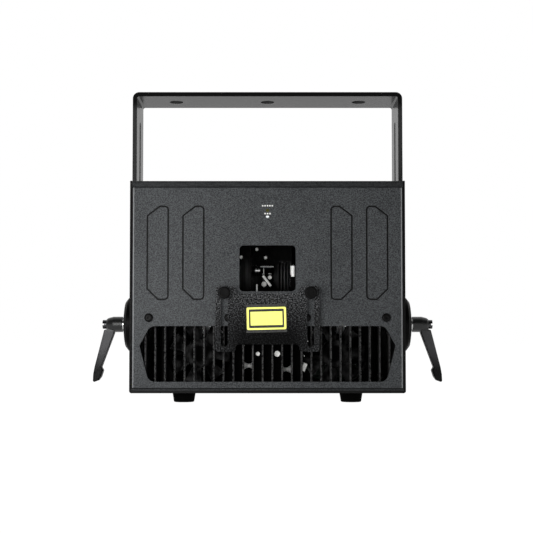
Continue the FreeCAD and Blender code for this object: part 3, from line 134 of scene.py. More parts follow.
def blend(tree, share, first, second, kind="RGBA"):
    """Output of a Mix node: the first input where the share is nought, the second where it is one."""
    first_socket, second_socket, result = MIX_SOCKETS[kind]
    inputs = {0: share, first_socket: first, second_socket: second}
    return add(tree, "Mix", inputs, data_type=kind).outputs[result]


def ramp(tree, value, start, full, low=0, high=1):
    """Output of a Map Range node: low at the start and high at the full value."""
    span = {"Value": value, "From Min": start, "From Max": full, "To Min": low, "To Max": high}
    return add(tree, "MapRange", span).outputs[0]


def noise(tree, where, scale, detail, roughness=0.5):
    """Output of a Noise Texture at the places given."""
    look = {"Vector": where, "Scale": scale, "Detail": detail, "Roughness": roughness}
    return add(tree, "TexNoise", look).outputs["Fac"]


def places(tree):
    """Object coordinates, which are metres on these pieces."""
    return add(tree, "TexCoord").outputs["Object"]


def split(tree, vector):
    """Parts of a vector, by the names X, Y and Z."""
    return add(tree, "SeparateXYZ", {0: vector}).outputs


def join(tree, **parts):
    """Vector of the parts named; any other part is nought."""
    return add(tree, "CombineXYZ", parts).outputs[0]


def grey(level):
    """Neutral colour."""
    return (level, level, level, 1)


print("common nodes ready")

# %% [markdown]
# The last helpers start a material, start a node group, which is a network that several finishes share, and
# place such a group in a material.

# %% Materials and groups
COLOUR, NUMBER, VECTOR = "NodeSocketColor", "NodeSocketFloat", "NodeSocketVector"
TEXTURE = [("Color", COLOUR), ("Roughness", NUMBER), ("Height", NUMBER)]
MASK = [("Mask", NUMBER)]


def new_finish(name, **plain):
    """Starts a material; plain values such as Coat_Weight go straight onto its Principled shader."""
    material = bpy.data.materials.new(name)
    material.use_nodes = True
    shader = material.node_tree.nodes["Principled BSDF"]
    feed(material.node_tree, shader, {label.replace("_", " "): value for label, value in plain.items()})
    return material, material.node_tree, shader


def new_group(name, inputs, outputs):
    """Starts a node group with named sockets; returns it, its inputs and the node for its results."""
    group = bpy.data.node_groups.new(name, "ShaderNodeTree")
    for label, kind, value in inputs:
        group.interface.new_socket(label, in_out="INPUT", socket_type=kind).default_value = value
    for label, kind in outputs:
        group.interface.new_socket(label, in_out="OUTPUT", socket_type=kind)
    return group, group.nodes.new("NodeGroupInput").outputs, group.nodes.new("NodeGroupOutput")


def use_group(tree, group, *values):
    """Places a node group in a material, with values in the order of its inputs, and returns its outputs."""
    return add(tree, "Group", dict(enumerate(values)), node_tree=group).outputs


print("helpers ready")

# %% [markdown]
# ## Light and floor
#
# The projector stood in front of a white backdrop between two softboxes, the left one nearer and stronger.
# The thumb screws throw a faint shadow to both sides, level with themselves, so the lamps stand at their
# height. A soft fill beside the lens reaches in through the window; it is hidden from glossy rays, so black
# faces stay black.
#
# The camera sees plain white. In reflections, through glass and, more gently, as light on the object, the
# backdrop is bright and the room behind the camera is dark.

# %% Light the studio
world = bpy.data.worlds.new("white_studio")
bpy.context.scene.world = world
world.use_nodes = True
sky = world.node_tree
rays = add(sky, "LightPath").outputs
depth = split(sky, add(sky, "TexCoord").outputs["Generated"])["Y"]
backdrop = ramp(sky, depth, -0.35, 0.25, 0.06, 1)
bounce = ramp(sky, depth, -0.25, 0.35, 0.10, 0.95)
seen = calc(sky, "MAXIMUM", rays["Is Glossy Ray"], rays["Is Transmission Ray"])
fill = blend(sky, seen, bounce, backdrop, "FLOAT")
level = blend(sky, rays["Is Camera Ray"], fill, 1, "FLOAT")
feed(sky, sky.nodes["Background"], {"Strength": level, "Color": grey(1)})


def softbox(name, place, aim, size, power):
    """An upright softbox that faces a point."""
    lamp = bpy.data.lights.new(name, "AREA")
    lamp.shape, lamp.size, lamp.size_y, lamp.energy = "RECTANGLE", size[0], size[1], power
    holder = bpy.data.objects.new(name, lamp)
    studio.objects.link(holder)
    line = np.subtract(aim, place)
    holder.location = place
    turn = math.atan2(-line[0], line[1])
    holder.rotation_euler = (math.pi / 2 + math.atan2(line[2], math.hypot(line[0], line[1])), 0, turn)
    holder.visible_camera = holder.visible_transmission = False
    return holder


softbox("left_softbox", (-0.19, -0.43, 0.11), (0, -0.10, 0.11), (0.12, 0.20), 0.77)
softbox("right_softbox", (0.42, -0.80, 0.12), (0, -0.10, 0.11), (0.20, 0.25), 0.55)
softbox("lens_fill", (-0.07, -0.56, 0.09), (0, -0.10, 0.09), (0.2, 0.15), 1).visible_glossy = False

# %% [markdown]
# The floor is one wide sheet. Where the camera, a reflection or glass looks at it, it is nearly plain
# white, so that no horizon shows. Close to the projector a part of that is real card, which catches the
# shadow under the feet. All other light meets card only, and the card bounces it up under the case.

# %% Lay the floor
def sheet_of_card(name, half):
    """A flat square at height zero: x and y run from minus half to half, z is nought."""
    u, v = np.meshgrid((-half, half), (-half, half))
    corners = np.stack([u, v, np.zeros_like(u)], axis=-1).reshape(-1, 3)
    mesh = bpy.data.meshes.new(name)
    mesh.from_pydata(corners.tolist(), [], [(0, 1, 3, 2)])
    card = bpy.data.objects.new(name, mesh)
    studio.objects.link(card)
    return card


floor = sheet_of_card("studio_floor", 6)
white_card, tree, shader = new_finish("white_card", Base_Color=grey(0.86), Roughness=0.9)
rays = add(tree, "LightPath").outputs
seen = calc(tree, "MAXIMUM", rays["Is Camera Ray"], rays["Is Glossy Ray"])
seen = calc(tree, "MAXIMUM", seen, rays["Is Transmission Ray"])
white = ramp(tree, vec(tree, "LENGTH", places(tree)), 0.16, 0.45, 0.96, 1)
shine = add(tree, "Emission", {"Color": grey(1), "Strength": 1.05})
mixed = add(tree, "MixShader", {"Fac": calc(tree, "MULTIPLY", seen, white), 1: shader.outputs[0],
                                2: shine.outputs[0]})
feed(tree, tree.nodes["Material Output"], {"Surface": mixed.outputs[0]})
floor.data.materials.append(white_card)
print("floor laid,", round(floor.dimensions.x, 1), "m wide")

# %% [markdown]
# ## Grain that several coatings share
#
# Powder coat, crinkle paint and moulded plastic differ in scale and contrast, but all are a field of small
# pits and peaks. A noise on Object coordinates gives that field in real sizes, because those coordinates
# are metres. The group returns a colour between pit and peak, a roughness that follows it, and the height
# for a Bump node. A power above one leaves only sparse grains, and a slow noise keeps large faces from
# looking printed.

# %% Node group: grain
tree, given, result = new_group("coat_grain", [
    ("Pit", COLOUR, grey(0.02)), ("Peak", COLOUR, grey(0.08)), ("Grains per metre", NUMBER, 900),
    ("Sparse", NUMBER, 1), ("Smooth", NUMBER, 0.4), ("Rough", NUMBER, 0.6),
], TEXTURE)
where = places(tree)
spread = ramp(tree, noise(tree, where, given["Grains per metre"], 2, 0.6), 0.36, 0.64)
drift = ramp(tree, noise(tree, where, 16, 2), 0.3, 0.7, -0.06, 0.06)
tone = calc(tree, "ADD", spread, drift, use_clamp=True)
sifted = calc(tree, "POWER", tone, given["Sparse"])
feed(tree, result, {
    "Color": blend(tree, sifted, given["Pit"], given["Peak"]),
    "Roughness": blend(tree, spread, given["Smooth"], given["Rough"], "FLOAT"), "Height": spread})
grain_group = tree
print("group", grain_group.name, "with", len(grain_group.nodes), "nodes")

# %% [markdown]
# ## Rubbed edges
#
# Coated sheet gets a lighter line where its edges are handled, and here that line is also a painted highlight,
# the light that a rounded edge catches. A sheared edge is never a perfect corner. Cycles' Bevel node returns
# the normal that a rounded edge would have. Where that leaves the true normal, there is an edge, and a slow
# noise breaks the line up. The rounded normal also goes to the shader, so that the sharp CAD edges catch the
# light like real ones.

# %% Node group: rubbed edges
tree, given, result = new_group("rubbed_edge_and_highlight", [
    ("Width", NUMBER, 0.0005), ("Amount", NUMBER, 0.5),
], MASK + [("Rounded", VECTOR)])
rounded = add(tree, "Bevel", {"Radius": given["Width"]}, samples=6).outputs[0]
likeness = vec(tree, "DOT_PRODUCT", rounded, add(tree, "NewGeometry").outputs["Normal"])
breaks = ramp(tree, noise(tree, places(tree), 110, 3), 0.35, 0.65)
# The edge line is partly wear and partly a painted highlight.
rubbed_and_lit = calc(tree, "MULTIPLY", ramp(tree, likeness, 0.995, 0.80), breaks)
mask = calc(tree, "MULTIPLY", rubbed_and_lit, given["Amount"], use_clamp=True)
feed(tree, result, {"Mask": mask, "Rounded": rounded})
edge_group = tree
print("group", edge_group.name, "with", len(edge_group.nodes), "nodes")

# %% [markdown]
# ## Masks for places
#
# Some changes of a finish belong to a place: the bottom of an engraved line, the joint round a panel, the
# hub of a lever. Two groups find such places from Object coordinates. One looks how far a point lies in a
# direction, with left and right folded together, and the other how far it lies from a centre, in stretched
# coordinates.

# %% Node groups: bands and patches
SPAN = [("Start", NUMBER, 0), ("Full", NUMBER, 1), ("Amount", NUMBER, 1)]


def finish_mask(group, given, result, measure):
    """Ends a mask group: the measure grows from start to full, and the amount scales it."""
    grown = ramp(group, measure, given["Start"], given["Full"])
    feed(group, result, {"Mask": calc(group, "MULTIPLY", grown, given["Amount"])})


band_group, given, result = new_group("edge_band", [("Direction", VECTOR, (0, 0, 1))] + SPAN, MASK)
parts = split(band_group, places(band_group))
folded = join(band_group, X=calc(band_group, "ABSOLUTE", parts["X"]), Y=parts["Y"], Z=parts["Z"])
finish_mask(band_group, given, result, vec(band_group, "DOT_PRODUCT", folded, given["Direction"]))

patch_group, given, result = new_group("round_patch", [
    ("Centre", VECTOR, (0, 0, 0)), ("Stretch", VECTOR, (1, 1, 1))] + SPAN, MASK)
offset = vec(patch_group, "SUBTRACT", places(patch_group), given["Centre"])
stretched = vec(patch_group, "MULTIPLY", offset, given["Stretch"])
finish_mask(patch_group, given, result, vec(patch_group, "LENGTH", stretched))
print("groups", band_group.name, "and", patch_group.name)

# %% [markdown]
# A mask is used to lay another colour over a finish's own. Where two masks are multiplied, only the place
# where they overlap is left. Directions get names, so that a band reads like a place on the object.

# %% Painting over a place
SIDEWAYS, BACK, FRONT = (1, 0, 0), (0, 1, 0), (0, -1, 0)
UP, DOWN = (0, 0, 1), (0, 0, -1)


def overpaint(material, mask, colour):
    """Lays a colour over a finish's own colour where a mask is one."""
    tree = material.node_tree
    shader = tree.nodes["Principled BSDF"]
    own = shader.inputs["Base Color"].links[0].from_socket
    feed(tree, shader, {"Base Color": blend(tree, mask, own, colour)})


def band(material, direction, start, full, amount=1):
    """Mask in a material that grows from start to full along a direction."""
    return use_group(material.node_tree, band_group, direction, start, full, amount)["Mask"]


def patch(material, centre, stretch, start, full, amount=1):
    """Mask in a material that changes from start to full with the distance from a centre."""
    return use_group(material.node_tree, patch_group, centre, stretch, start, full, amount)["Mask"]


def overlap(material, first, second):
    """Mask in a material where two masks meet."""
    return calc(material.node_tree, "MULTIPLY", first, second)


print("places can be painted")

# %% [markdown]
# ## One recipe for coated surfaces
#
# A coated surface is grain, a bump from the grain, and paler edges on top, partly rubbed and partly painted
# highlight. Each finish below calls this recipe with its own colours and sizes. Colours and roughness come from
# the groups because they change over the surface; everything that is the same all over stays on the shader's
# own sockets.

# %% Coated finishes
def dress(tree, shader, colour, texture, edge, edge_width, bump):
    """Feeds a shader with a texture: its colour with paler edges, rubbed and with a painted highlight, its
    roughness and its bump.
    """
    edges = use_group(tree, edge_group, edge_width, edge)
    relief = add(tree, "Bump", {"Strength": 1, "Distance": bump, "Height": texture["Height"],
                                "Normal": edges["Rounded"]})
    painted = blend(tree, edges["Mask"], texture["Color"], colour) if colour else texture["Color"]
    feed(tree, shader, {"Base Color": painted, "Roughness": texture["Roughness"],
                        "Normal": relief.outputs["Normal"]})


def coated(name, pit, peak, grains, smooth, rough, bump, gleam, edge=0, width=0.0005, sparse=1, **plain):
    """Grained coating with paler edges, rubbed and with a painted highlight. Bump is the grain's height in
    metres, gleam the specular level.
    """
    material, tree, shader = new_finish(name, Specular_IOR_Level=gleam, **plain)
    # The paler edge colour is partly wear and partly a painted highlight.
    worn_and_lit = (*[min(1, value * 2.2 + 0.02) for value in peak[:3]], 1)
    grain = use_group(tree, grain_group, pit, peak, grains, sparse, smooth, rough)
    dress(tree, shader, worn_and_lit, grain, edge, width, bump)
    return material


# Colours of pit and peak, grains to the metre, smooth and rough, bump, gleam, paler edges (rubbed, with a
# painted highlight) and their width.
powder = ((0.013, 0.014, 0.015, 1), (0.066, 0.070, 0.073, 1), 1150)
case_coat = coated("case_powder_coat", *powder, 0.45, 0.62, 0.00004, 0.15, 0.2)
shell_coat = coated("shell_powder_coat", *powder, 0.45, 0.60, 0.00004, 0.12, 0.1)
yoke_coat = coated("yoke_satin_black", grey(0.030), grey(0.034), 900, 0.24, 0.27, 0, 0.06, 0, 0)
grille_coat = coated("grille_satin_black", grey(0.0005), grey(0.003), 1400, 0.46, 0.56, 0.00002, 0.02)
bracket_coat = coated("bracket_flat_black", grey(0.0005), grey(0.0015), 1400, 0.60, 0.75, 0.00002, 0.02)
mask_coat = coated("mask_crinkle_coat", grey(0.001), (0.12, 0.123, 0.127, 1), 900, 0.40, 0.60, 0.00010, 0.02,
                   0.3, 0.0006, sparse=2.4)
lever_coat = coated("lever_moulded_grey", (0.074, 0.074, 0.076, 1), (0.100, 0.100, 0.103, 1), 1800,
                    0.34, 0.44, 0.00002, 0.08, Coat_IOR=1.4, Coat_Roughness=0.36)
disc_coat = coated("disc_moulded_black", grey(0.001), grey(0.003), 1600, 0.38, 0.44, 0.00001, 0.05, 0.1)
knob_coat = coated("knob_moulded_black", grey(0.002), grey(0.005), 1600, 0.34, 0.44, 0.00001, 0.06, 0.3,
                   0.0003)
oxide_coat = coated("screw_black_oxide", grey(0.001), grey(0.003), 2400, 0.34, 0.44, 0.00001, 0.09, 1,
                    0.0003)
foot_coat = coated("foot_rubber", grey(0.0005), grey(0.0012), 900, 0.70, 0.85, 0.00004, 0.02)
fan_coat = coated("fan_moulded_black", grey(0.0005), grey(0.0012), 1300, 0.46, 0.56, 0.00001, 0.02)
# The rotors' coarse pale blotches are a painted sheen: blurred highlights on the turning blades.
rotor_coat = coated("rotor_black_with_painted_sheen", grey(0.0005), grey(0.034), 95, 0.46, 0.56, 0.00001, 0.02,
                    sparse=1.6)
socket_coat = coated("socket_moulded_black", grey(0.010), (0.022, 0.022, 0.023, 1), 1500, 0.42, 0.55,
                     0.00003, 0.3, 0.2)
anodised_coat = coated("anodised_black", grey(0.0008), grey(0.002), 2000, 0.40, 0.52, 0, 0.04, 0.1, 0.0003)
board_coat = coated("board_green_lacquer", (0.002, 0.008, 0.004, 1), (0.004, 0.016, 0.008, 1), 500,
                    0.28, 0.40, 0.00002, 0.5, 0.3, Coat_Weight=0.3)
print(len(bpy.data.materials), "finishes so far")

# %% [markdown]
# ## Places on the coats
#
# A few coats change within a piece. The levers have painted shade towards their tips and along their inner
# edge, and their polished hubs are painted darker, as shade, and get the shader's coat layer. The mask has
# painted shade at its foot, the fans' hubs are black without the blades' painted sheen, the yoke's bar has
# painted shade along its front edge, and the shell has painted shade on its front lips and bottom edge and is
# black along the front edges of its sides.

# %% Paint the places
hub_middle = middle("left_lever_screw")
shade_top, shade_foot = 0.048, 0.026
handle_slant, inner_edge = (-0.953, 0, -0.303), -0.1582
# Painted shade: the handles are painted darker towards their tips and along their inner edge.
overpaint(lever_coat, band(lever_coat, DOWN, -shade_top, -shade_foot, 0.95), grey(0.004))
overpaint(lever_coat, band(lever_coat, handle_slant, inner_edge, inner_edge + 0.001, 0.9), grey(0.002))
# Painted shade: the hubs are painted darker than the arms, which share their finish; the coat layer gives the
# hubs their gloss.
hub = patch(lever_coat, hub_middle, (0, 1, 1), 0.0084, 0.0076)
overpaint(lever_coat, hub, grey(0.006))
feed(lever_coat.node_tree, lever_coat.node_tree.nodes["Principled BSDF"], {"Coat Weight": hub})
# Painted shade: the mask is painted darker towards its foot.
mask_foot = (0, 0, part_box("aperture_mask")[0][2] + 0.008)
overpaint(mask_coat, patch(mask_coat, mask_foot, (0.6, 0, 1), 0.044, 0.014, 0.9), grey(0.001))
# The hubs are left plain black, without the painted sheen of the blades.
for rotor in ("left_fan_rotor", "right_fan_rotor"):
    overpaint(rotor_coat, patch(rotor_coat, middle(rotor), (1, 0, 1), 0.0090, 0.0065), grey(0.001))
yoke_front, yoke_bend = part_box("yoke")[0][1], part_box("yoke")[1][2] - 0.010
# Painted shade along the front edge of the yoke's bar.
bar_front_shade = overlap(yoke_coat, band(yoke_coat, UP, yoke_bend - 0.008, yoke_bend),
                   band(yoke_coat, FRONT, -yoke_front - 0.0008, -yoke_front - 0.0004))
overpaint(yoke_coat, bar_front_shade, grey(0.006))
shell_side, shell_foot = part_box("case_shell")[1][0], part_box("case_shell")[0][2]
# Painted shade on the shell's front lips and along its bottom edge.
overpaint(shell_coat, band(shell_coat, FRONT, -front_y - 0.0022, -front_y - 0.0012, 0.6), grey(0.004))
overpaint(shell_coat, band(shell_coat, DOWN, -shell_foot - 0.0025, -shell_foot - 0.0019, 0.95), grey(0.002))
# The side sheets are black along their front edges.
black_side_edges = overlap(shell_coat, band(shell_coat, SIDEWAYS, shell_side - 0.0020, shell_side - 0.0016),
                  band(shell_coat, FRONT, -front_y - 0.0012, -front_y - 0.0008))
overpaint(shell_coat, black_side_edges, grey(0.001))
print("hubs at", np.round(hub_middle, 4), "and the yoke's bar above", round(yoke_bend, 4))

# %% [markdown]
# ## Metal
#
# Bare metal shows its making: drawn and milled pieces carry streaks along one direction. Stretching Object
# coordinates before the noise turns round specks into lines. The group returns colour, roughness and
# height.

# %% Node group: streaks, and the metals
tree, given, result = new_group("drawn_streaks", [
    ("Dull", COLOUR, grey(0.4)), ("Bright", COLOUR, grey(0.7)), ("Lines", VECTOR, (200, 200, 3000)),
    ("Smooth", NUMBER, 0.18), ("Rough", NUMBER, 0.36),
], TEXTURE)
stretched = vec(tree, "MULTIPLY", places(tree), given["Lines"])
spread = ramp(tree, noise(tree, stretched, 1, 3, 0.6), 0.3, 0.7)
feed(tree, result, {
    "Color": blend(tree, spread, given["Dull"], given["Bright"]),
    "Roughness": blend(tree, spread, given["Rough"], given["Smooth"], "FLOAT"), "Height": spread})
streak_group = tree


def bare_metal(name, *look, bump=0, metallic=1):
    """Metal with streaks, whose look is what the group takes; bump is their height in metres."""
    material, tree, shader = new_finish(name, Metallic=metallic)
    dress(tree, shader, None, use_group(tree, streak_group, *look), 0, 0.0003, bump)
    return material


# Colour of dull and bright streaks, lines to the metre along x, y and z, smooth and rough.
silvering = ((0.88, 0.88, 0.89, 1), (0.94, 0.94, 0.95, 1), (60,) * 3, 0.02, 0.05)
bright_steel = bare_metal("bright_steel", grey(0.52), (0.74, 0.74, 0.73, 1), (2600, 260, 2600), 0.16, 0.30,
                          bump=0.000006)
satin_steel = bare_metal("satin_steel", (0.70, 0.70, 0.68, 1), (0.97, 0.97, 0.95, 1), (1200, 300, 1200),
                         0.36, 0.46, bump=0.000004, metallic=0.1)
dark_steel = bare_metal("dark_steel", (0.03, 0.03, 0.032, 1), (0.07, 0.07, 0.072, 1), (2600, 260, 260),
                        0.24, 0.40, bump=0.000006)
milled = bare_metal("milled_aluminium", (0.56, 0.57, 0.58, 1), (0.76, 0.77, 0.78, 1), (220, 2400, 220),
                    0.24, 0.40, bump=0.000008)
plated = bare_metal("nickel_plating", (0.30, 0.30, 0.29, 1), (0.40, 0.40, 0.385, 1), (1500,) * 3, 0.24, 0.32)
contact_brass = bare_metal("contact_brass", (0.46, 0.34, 0.12, 1), (0.62, 0.48, 0.20, 1), (900,) * 3,
                           0.22, 0.32)
silvered = bare_metal("combiner_mirror_glass", *silvering)
print("group", streak_group.name, "and the metals ready")

# %% [markdown]
# The scanner's block is drawn bar with a black finish. Beside the mirrors its drawing lines are painted grey, a
# painted reflection of the light from the window that grazes it. A soft patch on each side masks the streaks
# that are painted there.

# %% Painted sheen on the scanner block
block_coat = anodised_coat.copy()
block_coat.name = "block_black_with_painted_sheen"
streaks_for_sheen = use_group(block_coat.node_tree, streak_group, grey(0.4), grey(0.7), (420, 420, 12))["Height"]
sheen_up = 0.114
for aside, level in ((0.0170, 0.13), (-0.0190, 0.045)):
    # Painted reflection: grey streaks on each side where the window's light would glint on the block.
    sheen = patch(block_coat, (aside, 0, sheen_up), (1, 0, 0.8), 0.0125, 0.0020)
    overpaint(block_coat, overlap(block_coat, sheen, streaks_for_sheen), grey(level))

# %% [markdown]
# ## Mirrors
#
# The scanning mirrors are thin plates of coated glass. Their faces are silvered, but the edges are ground
# glass: pale, rough and not metal, and they are what shows from the front. A face's direction tells the two
# apart: the largest face of the mesh says which way is silvered. The direction is turned into the mirror's
# own space first, because the mirrors swing.

# %% Mirrors with ground edges
def largest_face(node):
    """Direction in which the largest face of a CAD piece looks."""
    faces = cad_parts[node].data.polygons
    sizes, directions = np.empty(len(faces), np.float32), np.empty(len(faces) * 3, np.float32)
    faces.foreach_get("area", sizes)
    faces.foreach_get("normal", directions)
    return directions.reshape(-1, 3)[np.argmax(sizes)].astype(float)


def mirror_plate(name, upright):
    """Silvered faces and ground edges: silver where the face looks along the plate's upright direction."""
    material, tree, shader = new_finish(name)
    ground = use_group(tree, streak_group, (0.70, 0.72, 0.72, 1), (0.86, 0.88, 0.88, 1), (900,) * 3,
                       0.50, 0.60)
    silver = use_group(tree, streak_group, *silvering)
    own = add(tree, "VectorTransform", {0: add(tree, "NewGeometry").outputs["Normal"]}, vector_type="NORMAL",
              convert_from="WORLD", convert_to="OBJECT").outputs[0]
    likeness = calc(tree, "ABSOLUTE", vec(tree, "DOT_PRODUCT", own, upright))
    faces = calc(tree, "GREATER_THAN", likeness, 0.9)
    feed(tree, shader, {
        "Base Color": blend(tree, faces, ground["Color"], silver["Color"]),
        "Roughness": blend(tree, faces, ground["Roughness"], silver["Roughness"], "FLOAT"),
        "Metallic": faces})
    return material


lower_silver = mirror_plate("lower_mirror_glass", largest_face("lower_mirror"))
upper_silver = mirror_plate("upper_mirror_glass", largest_face("upper_mirror"))
for mirror in ("lower_mirror", "upper_mirror"):
    print(mirror, "looks along", np.round(largest_face(mirror), 2))

# %% [markdown]
# ## Window glass
#
# The window is a flat pane with a coating that keeps it from mirroring the room. The Principled shader with
# full transmission bends and mirrors light as glass does, and a low index of refraction stands for the
# coating. A faint noise in the roughness gives wiped-off smears, which only show in reflections.

# %% Window glass
clear_glass, tree, shader = new_finish("window_clear", Base_Color=(0.94, 0.97, 0.96, 1), IOR=1.12,
                                       Transmission_Weight=1, Metallic=0, Alpha=0.15)
smears = noise(tree, places(tree), 60, 3)
feed(tree, shader, {"Roughness": ramp(tree, smears, 0.45, 0.75, 0, 0.04)})
print("glass", clear_glass.name)

# %% [markdown]
# ## Printed marks
#
# The mask carries a yellow plate: a frame, a black band and a yellow field, left without lettering. The
# panel has two rows of small white ticks beside its lamps. Both are printed, so they belong in a shader and
# not in the mesh. A rounded rectangle is found from distances: take how far a point lies past each straight
# side, shorten that by the corner's radius, and compare the length of what is left with the radius.

# %% Node group: a rounded mark
tree, given, result = new_group("rounded_mark", [
    ("Place", VECTOR, (0, 0, 0)), ("Half size", VECTOR, (0.01, 0, 0.01)), ("Corner", NUMBER, 0.001),
], MASK)
folded = vec(tree, "ABSOLUTE", given["Place"])
past = vec(tree, "SUBTRACT", folded, given["Half size"])
eased = vec(tree, "ADD", past, given["Corner"])
outside = vec(tree, "MAXIMUM", eased)
flat = vec(tree, "MULTIPLY", outside, (1, 0, 1))
rim = calc(tree, "SUBTRACT", vec(tree, "LENGTH", flat), given["Corner"])
feed(tree, result, {"Mask": ramp(tree, rim, 0.00004, -0.00004)})
mark_group = tree


def marked(tree, where, half, corner):
    """Mask in a material: a rounded rectangle round the origin of the places given."""
    return use_group(tree, mark_group, where, half, corner)["Mask"]


print("group", mark_group.name, "with", len(mark_group.nodes), "nodes")

# %% [markdown]
# The slats of the grille are black, with a pale line painted down the front of each one: a painted highlight
# where the front edge of each slat catches the light. The pitch is measured on the mesh: the upright edges come
# in pairs, so every second one is a pitch further on.

# %% Painted highlights on the slats
grille_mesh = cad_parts["vent_grille"].data
corners = np.empty(len(grille_mesh.vertices) * 3, dtype=np.float32)
grille_mesh.vertices.foreach_get("co", corners)
uprights = np.unique(np.round(corners.reshape(-1, 3)[:, 0], 5))
uprights = uprights[np.abs(uprights) < 0.08]
slat_pitch = float(np.median(uprights[2:] - uprights[:-2]))
tree = grille_coat.node_tree
where = places(tree)
wrapped = calc(tree, "WRAP", split(tree, where)["X"], slat_pitch, 0)
on_slat = join(tree, X=calc(tree, "SUBTRACT", wrapped, slat_pitch / 2))
# Painted highlight: a pale line down the front of each slat, broken up by specks.
line = marked(tree, on_slat, (0.00028, 0, 0.1), 0.0001)
specks = ramp(tree, noise(tree, where, 700, 2), 0.34, 0.60)
overpaint(grille_coat, overlap(grille_coat, line, specks), grey(0.050))
print("slats repeat every", round(slat_pitch * 1000, 2), "mm")

# %% [markdown]
# The plate was stuck on a little crooked. A Mapping node set to Texture moves the pattern to the plate's
# middle and turns it with the plate. Film is smoother than paint, so its roughness stays low and nearly
# even.

# %% Yellow plate
plate_middle = middle("mask_plate")
plate_film, tree, shader = new_finish("plate_printed_film", Specular_IOR_Level=0.2)
on_plate = add(tree, "Mapping", {
    "Vector": places(tree), "Location": (plate_middle[0], 0, plate_middle[2]),
    "Rotation": (0, math.radians(-1.3), 0)}, vector_type="TEXTURE").outputs[0]
border = marked(tree, on_plate, (0.0170, 0, 0.0097), 0.0014)
black_band = marked(tree, on_plate, (0.0152, 0, 0.00815), 0.0008)
field = marked(tree, on_plate, (0.01375, 0, 0.0059), 0.0003)
yellow = calc(tree, "ADD", calc(tree, "SUBTRACT", border, black_band, use_clamp=True), field, use_clamp=True)
film = use_group(tree, grain_group, (0.93, 0.92, 0.19, 1), (0.97, 0.96, 0.22, 1), 700, 1, 0.34, 0.44)
ink = use_group(tree, grain_group, grey(0.020), (0.044, 0.044, 0.043, 1), 900, 1, 0.36, 0.46)
feed(tree, shader, {"Base Color": blend(tree, yellow, ink["Color"], film["Color"]),
                    "Roughness": film["Roughness"]})
print("plate printed round", np.round(plate_middle, 4))

# %% [markdown]
# The front panel is the case's powder coat. A pale line, a painted highlight where the rounded sides catch the
# light, and a black one run down its sides, where it meets the shell. Its top and bottom edges are dark where
# it meets the shell, its cut edges and engraved lines are painted dark as shade in them, and two rows of ticks
# are printed on it.
# Wrapping the sideways coordinate repeats one tick at an even pitch, and a wider mark ends the row.

# %% Front panel with its ticks
panel_coat = case_coat.copy()
panel_coat.name = "panel_powder_coat"
panel_low, panel_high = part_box("front_panel")
for direction, start, full, amount, colour in (
        # The first band is a painted highlight down the sides, the third painted shade in the engraved lines
        # and on the cut edges; the black line and the top and bottom bands are the dark joints with the shell.
        (SIDEWAYS, panel_high[0] - 0.0021, panel_high[0] - 0.0018, 0.9, (0.20, 0.205, 0.21, 1)),
        (SIDEWAYS, panel_high[0] - 0.0013, panel_high[0] - 0.0010, 0.95, grey(0.004)),
        (BACK, front_y + 0.0001, front_y + 0.0004, 1, grey(0.003)),
        (UP, panel_high[2] - 0.0010, panel_high[2] - 0.0005, 0.8, grey(0.006)),
        (DOWN, -panel_low[2] - 0.0010, -panel_low[2] - 0.0005, 0.8, grey(0.006))):
    overpaint(panel_coat, band(panel_coat, direction, start, full, amount), colour)
lamp_radius, half_pitch = 0.0015, 0.00105
lamp_low, lamp_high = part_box("status_lamps")[0][2] + lamp_radius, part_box("status_lamps")[1][2] - lamp_radius
tree = panel_coat.node_tree
where = places(tree)
for height, half_row in ((lamp_high + 0.0041, 0.0052), (lamp_low + 0.0027, 0.0031)):
    beside = add(tree, "Mapping", {"Vector": where, "Location": (0, 0, height)},
                 vector_type="TEXTURE").outputs[0]
    parts = split(tree, beside)
    repeated = join(tree, X=calc(tree, "WRAP", parts["X"], half_pitch, -half_pitch), Z=parts["Z"])
    tick = marked(tree, repeated, (0.00062, 0, 0.0006), 0.0002)
    row = marked(tree, beside, (half_row, 0, 0.001), 0.0001)
    overpaint(panel_coat, overlap(panel_coat, tick, row), (0.62, 0.62, 0.60, 1))
print("ticks printed every", round(half_pitch * 2000, 2), "mm")

# %% [markdown]
# ## Indicator lamps
#
# Two small lamps sit above each other: the upper one is off and shows its olive lens, the lower one glows
# white in its middle. Both are one piece in the CAD model, so the height decides which lens is olive.

# %% Indicator lamps
lamp_lens, tree, shader = new_finish("lamp_lens", Emission_Strength=1, Coat_Weight=0.4)
upper = calc(tree, "GREATER_THAN", split(tree, places(tree))["Z"], (lamp_low + lamp_high) / 2)
olive = use_group(tree, grain_group, (0.030, 0.030, 0.006, 1), (0.060, 0.058, 0.014, 1), 1400, 1, 0.15, 0.25)
lit = patch(lamp_lens, (0, 0, lamp_low), (0.8, 0, 1.4), 0.0013, 0.0008)
feed(tree, shader, {
    "Base Color": blend(tree, upper, (0.20, 0.21, 0.21, 1), olive["Color"]), "Roughness": olive["Roughness"],
    "Emission Color": blend(tree, lit, grey(0), (0.85, 0.88, 0.90, 1))})
print("lamps", round((lamp_high - lamp_low) * 1000, 2), "mm apart")

# %% [markdown]
# ## Finish for every piece
#
# A table gives each CAD piece its finish. Assigning to the material slots changes the look and leaves the
# mesh as it is. The cell prints any piece that the table forgot.

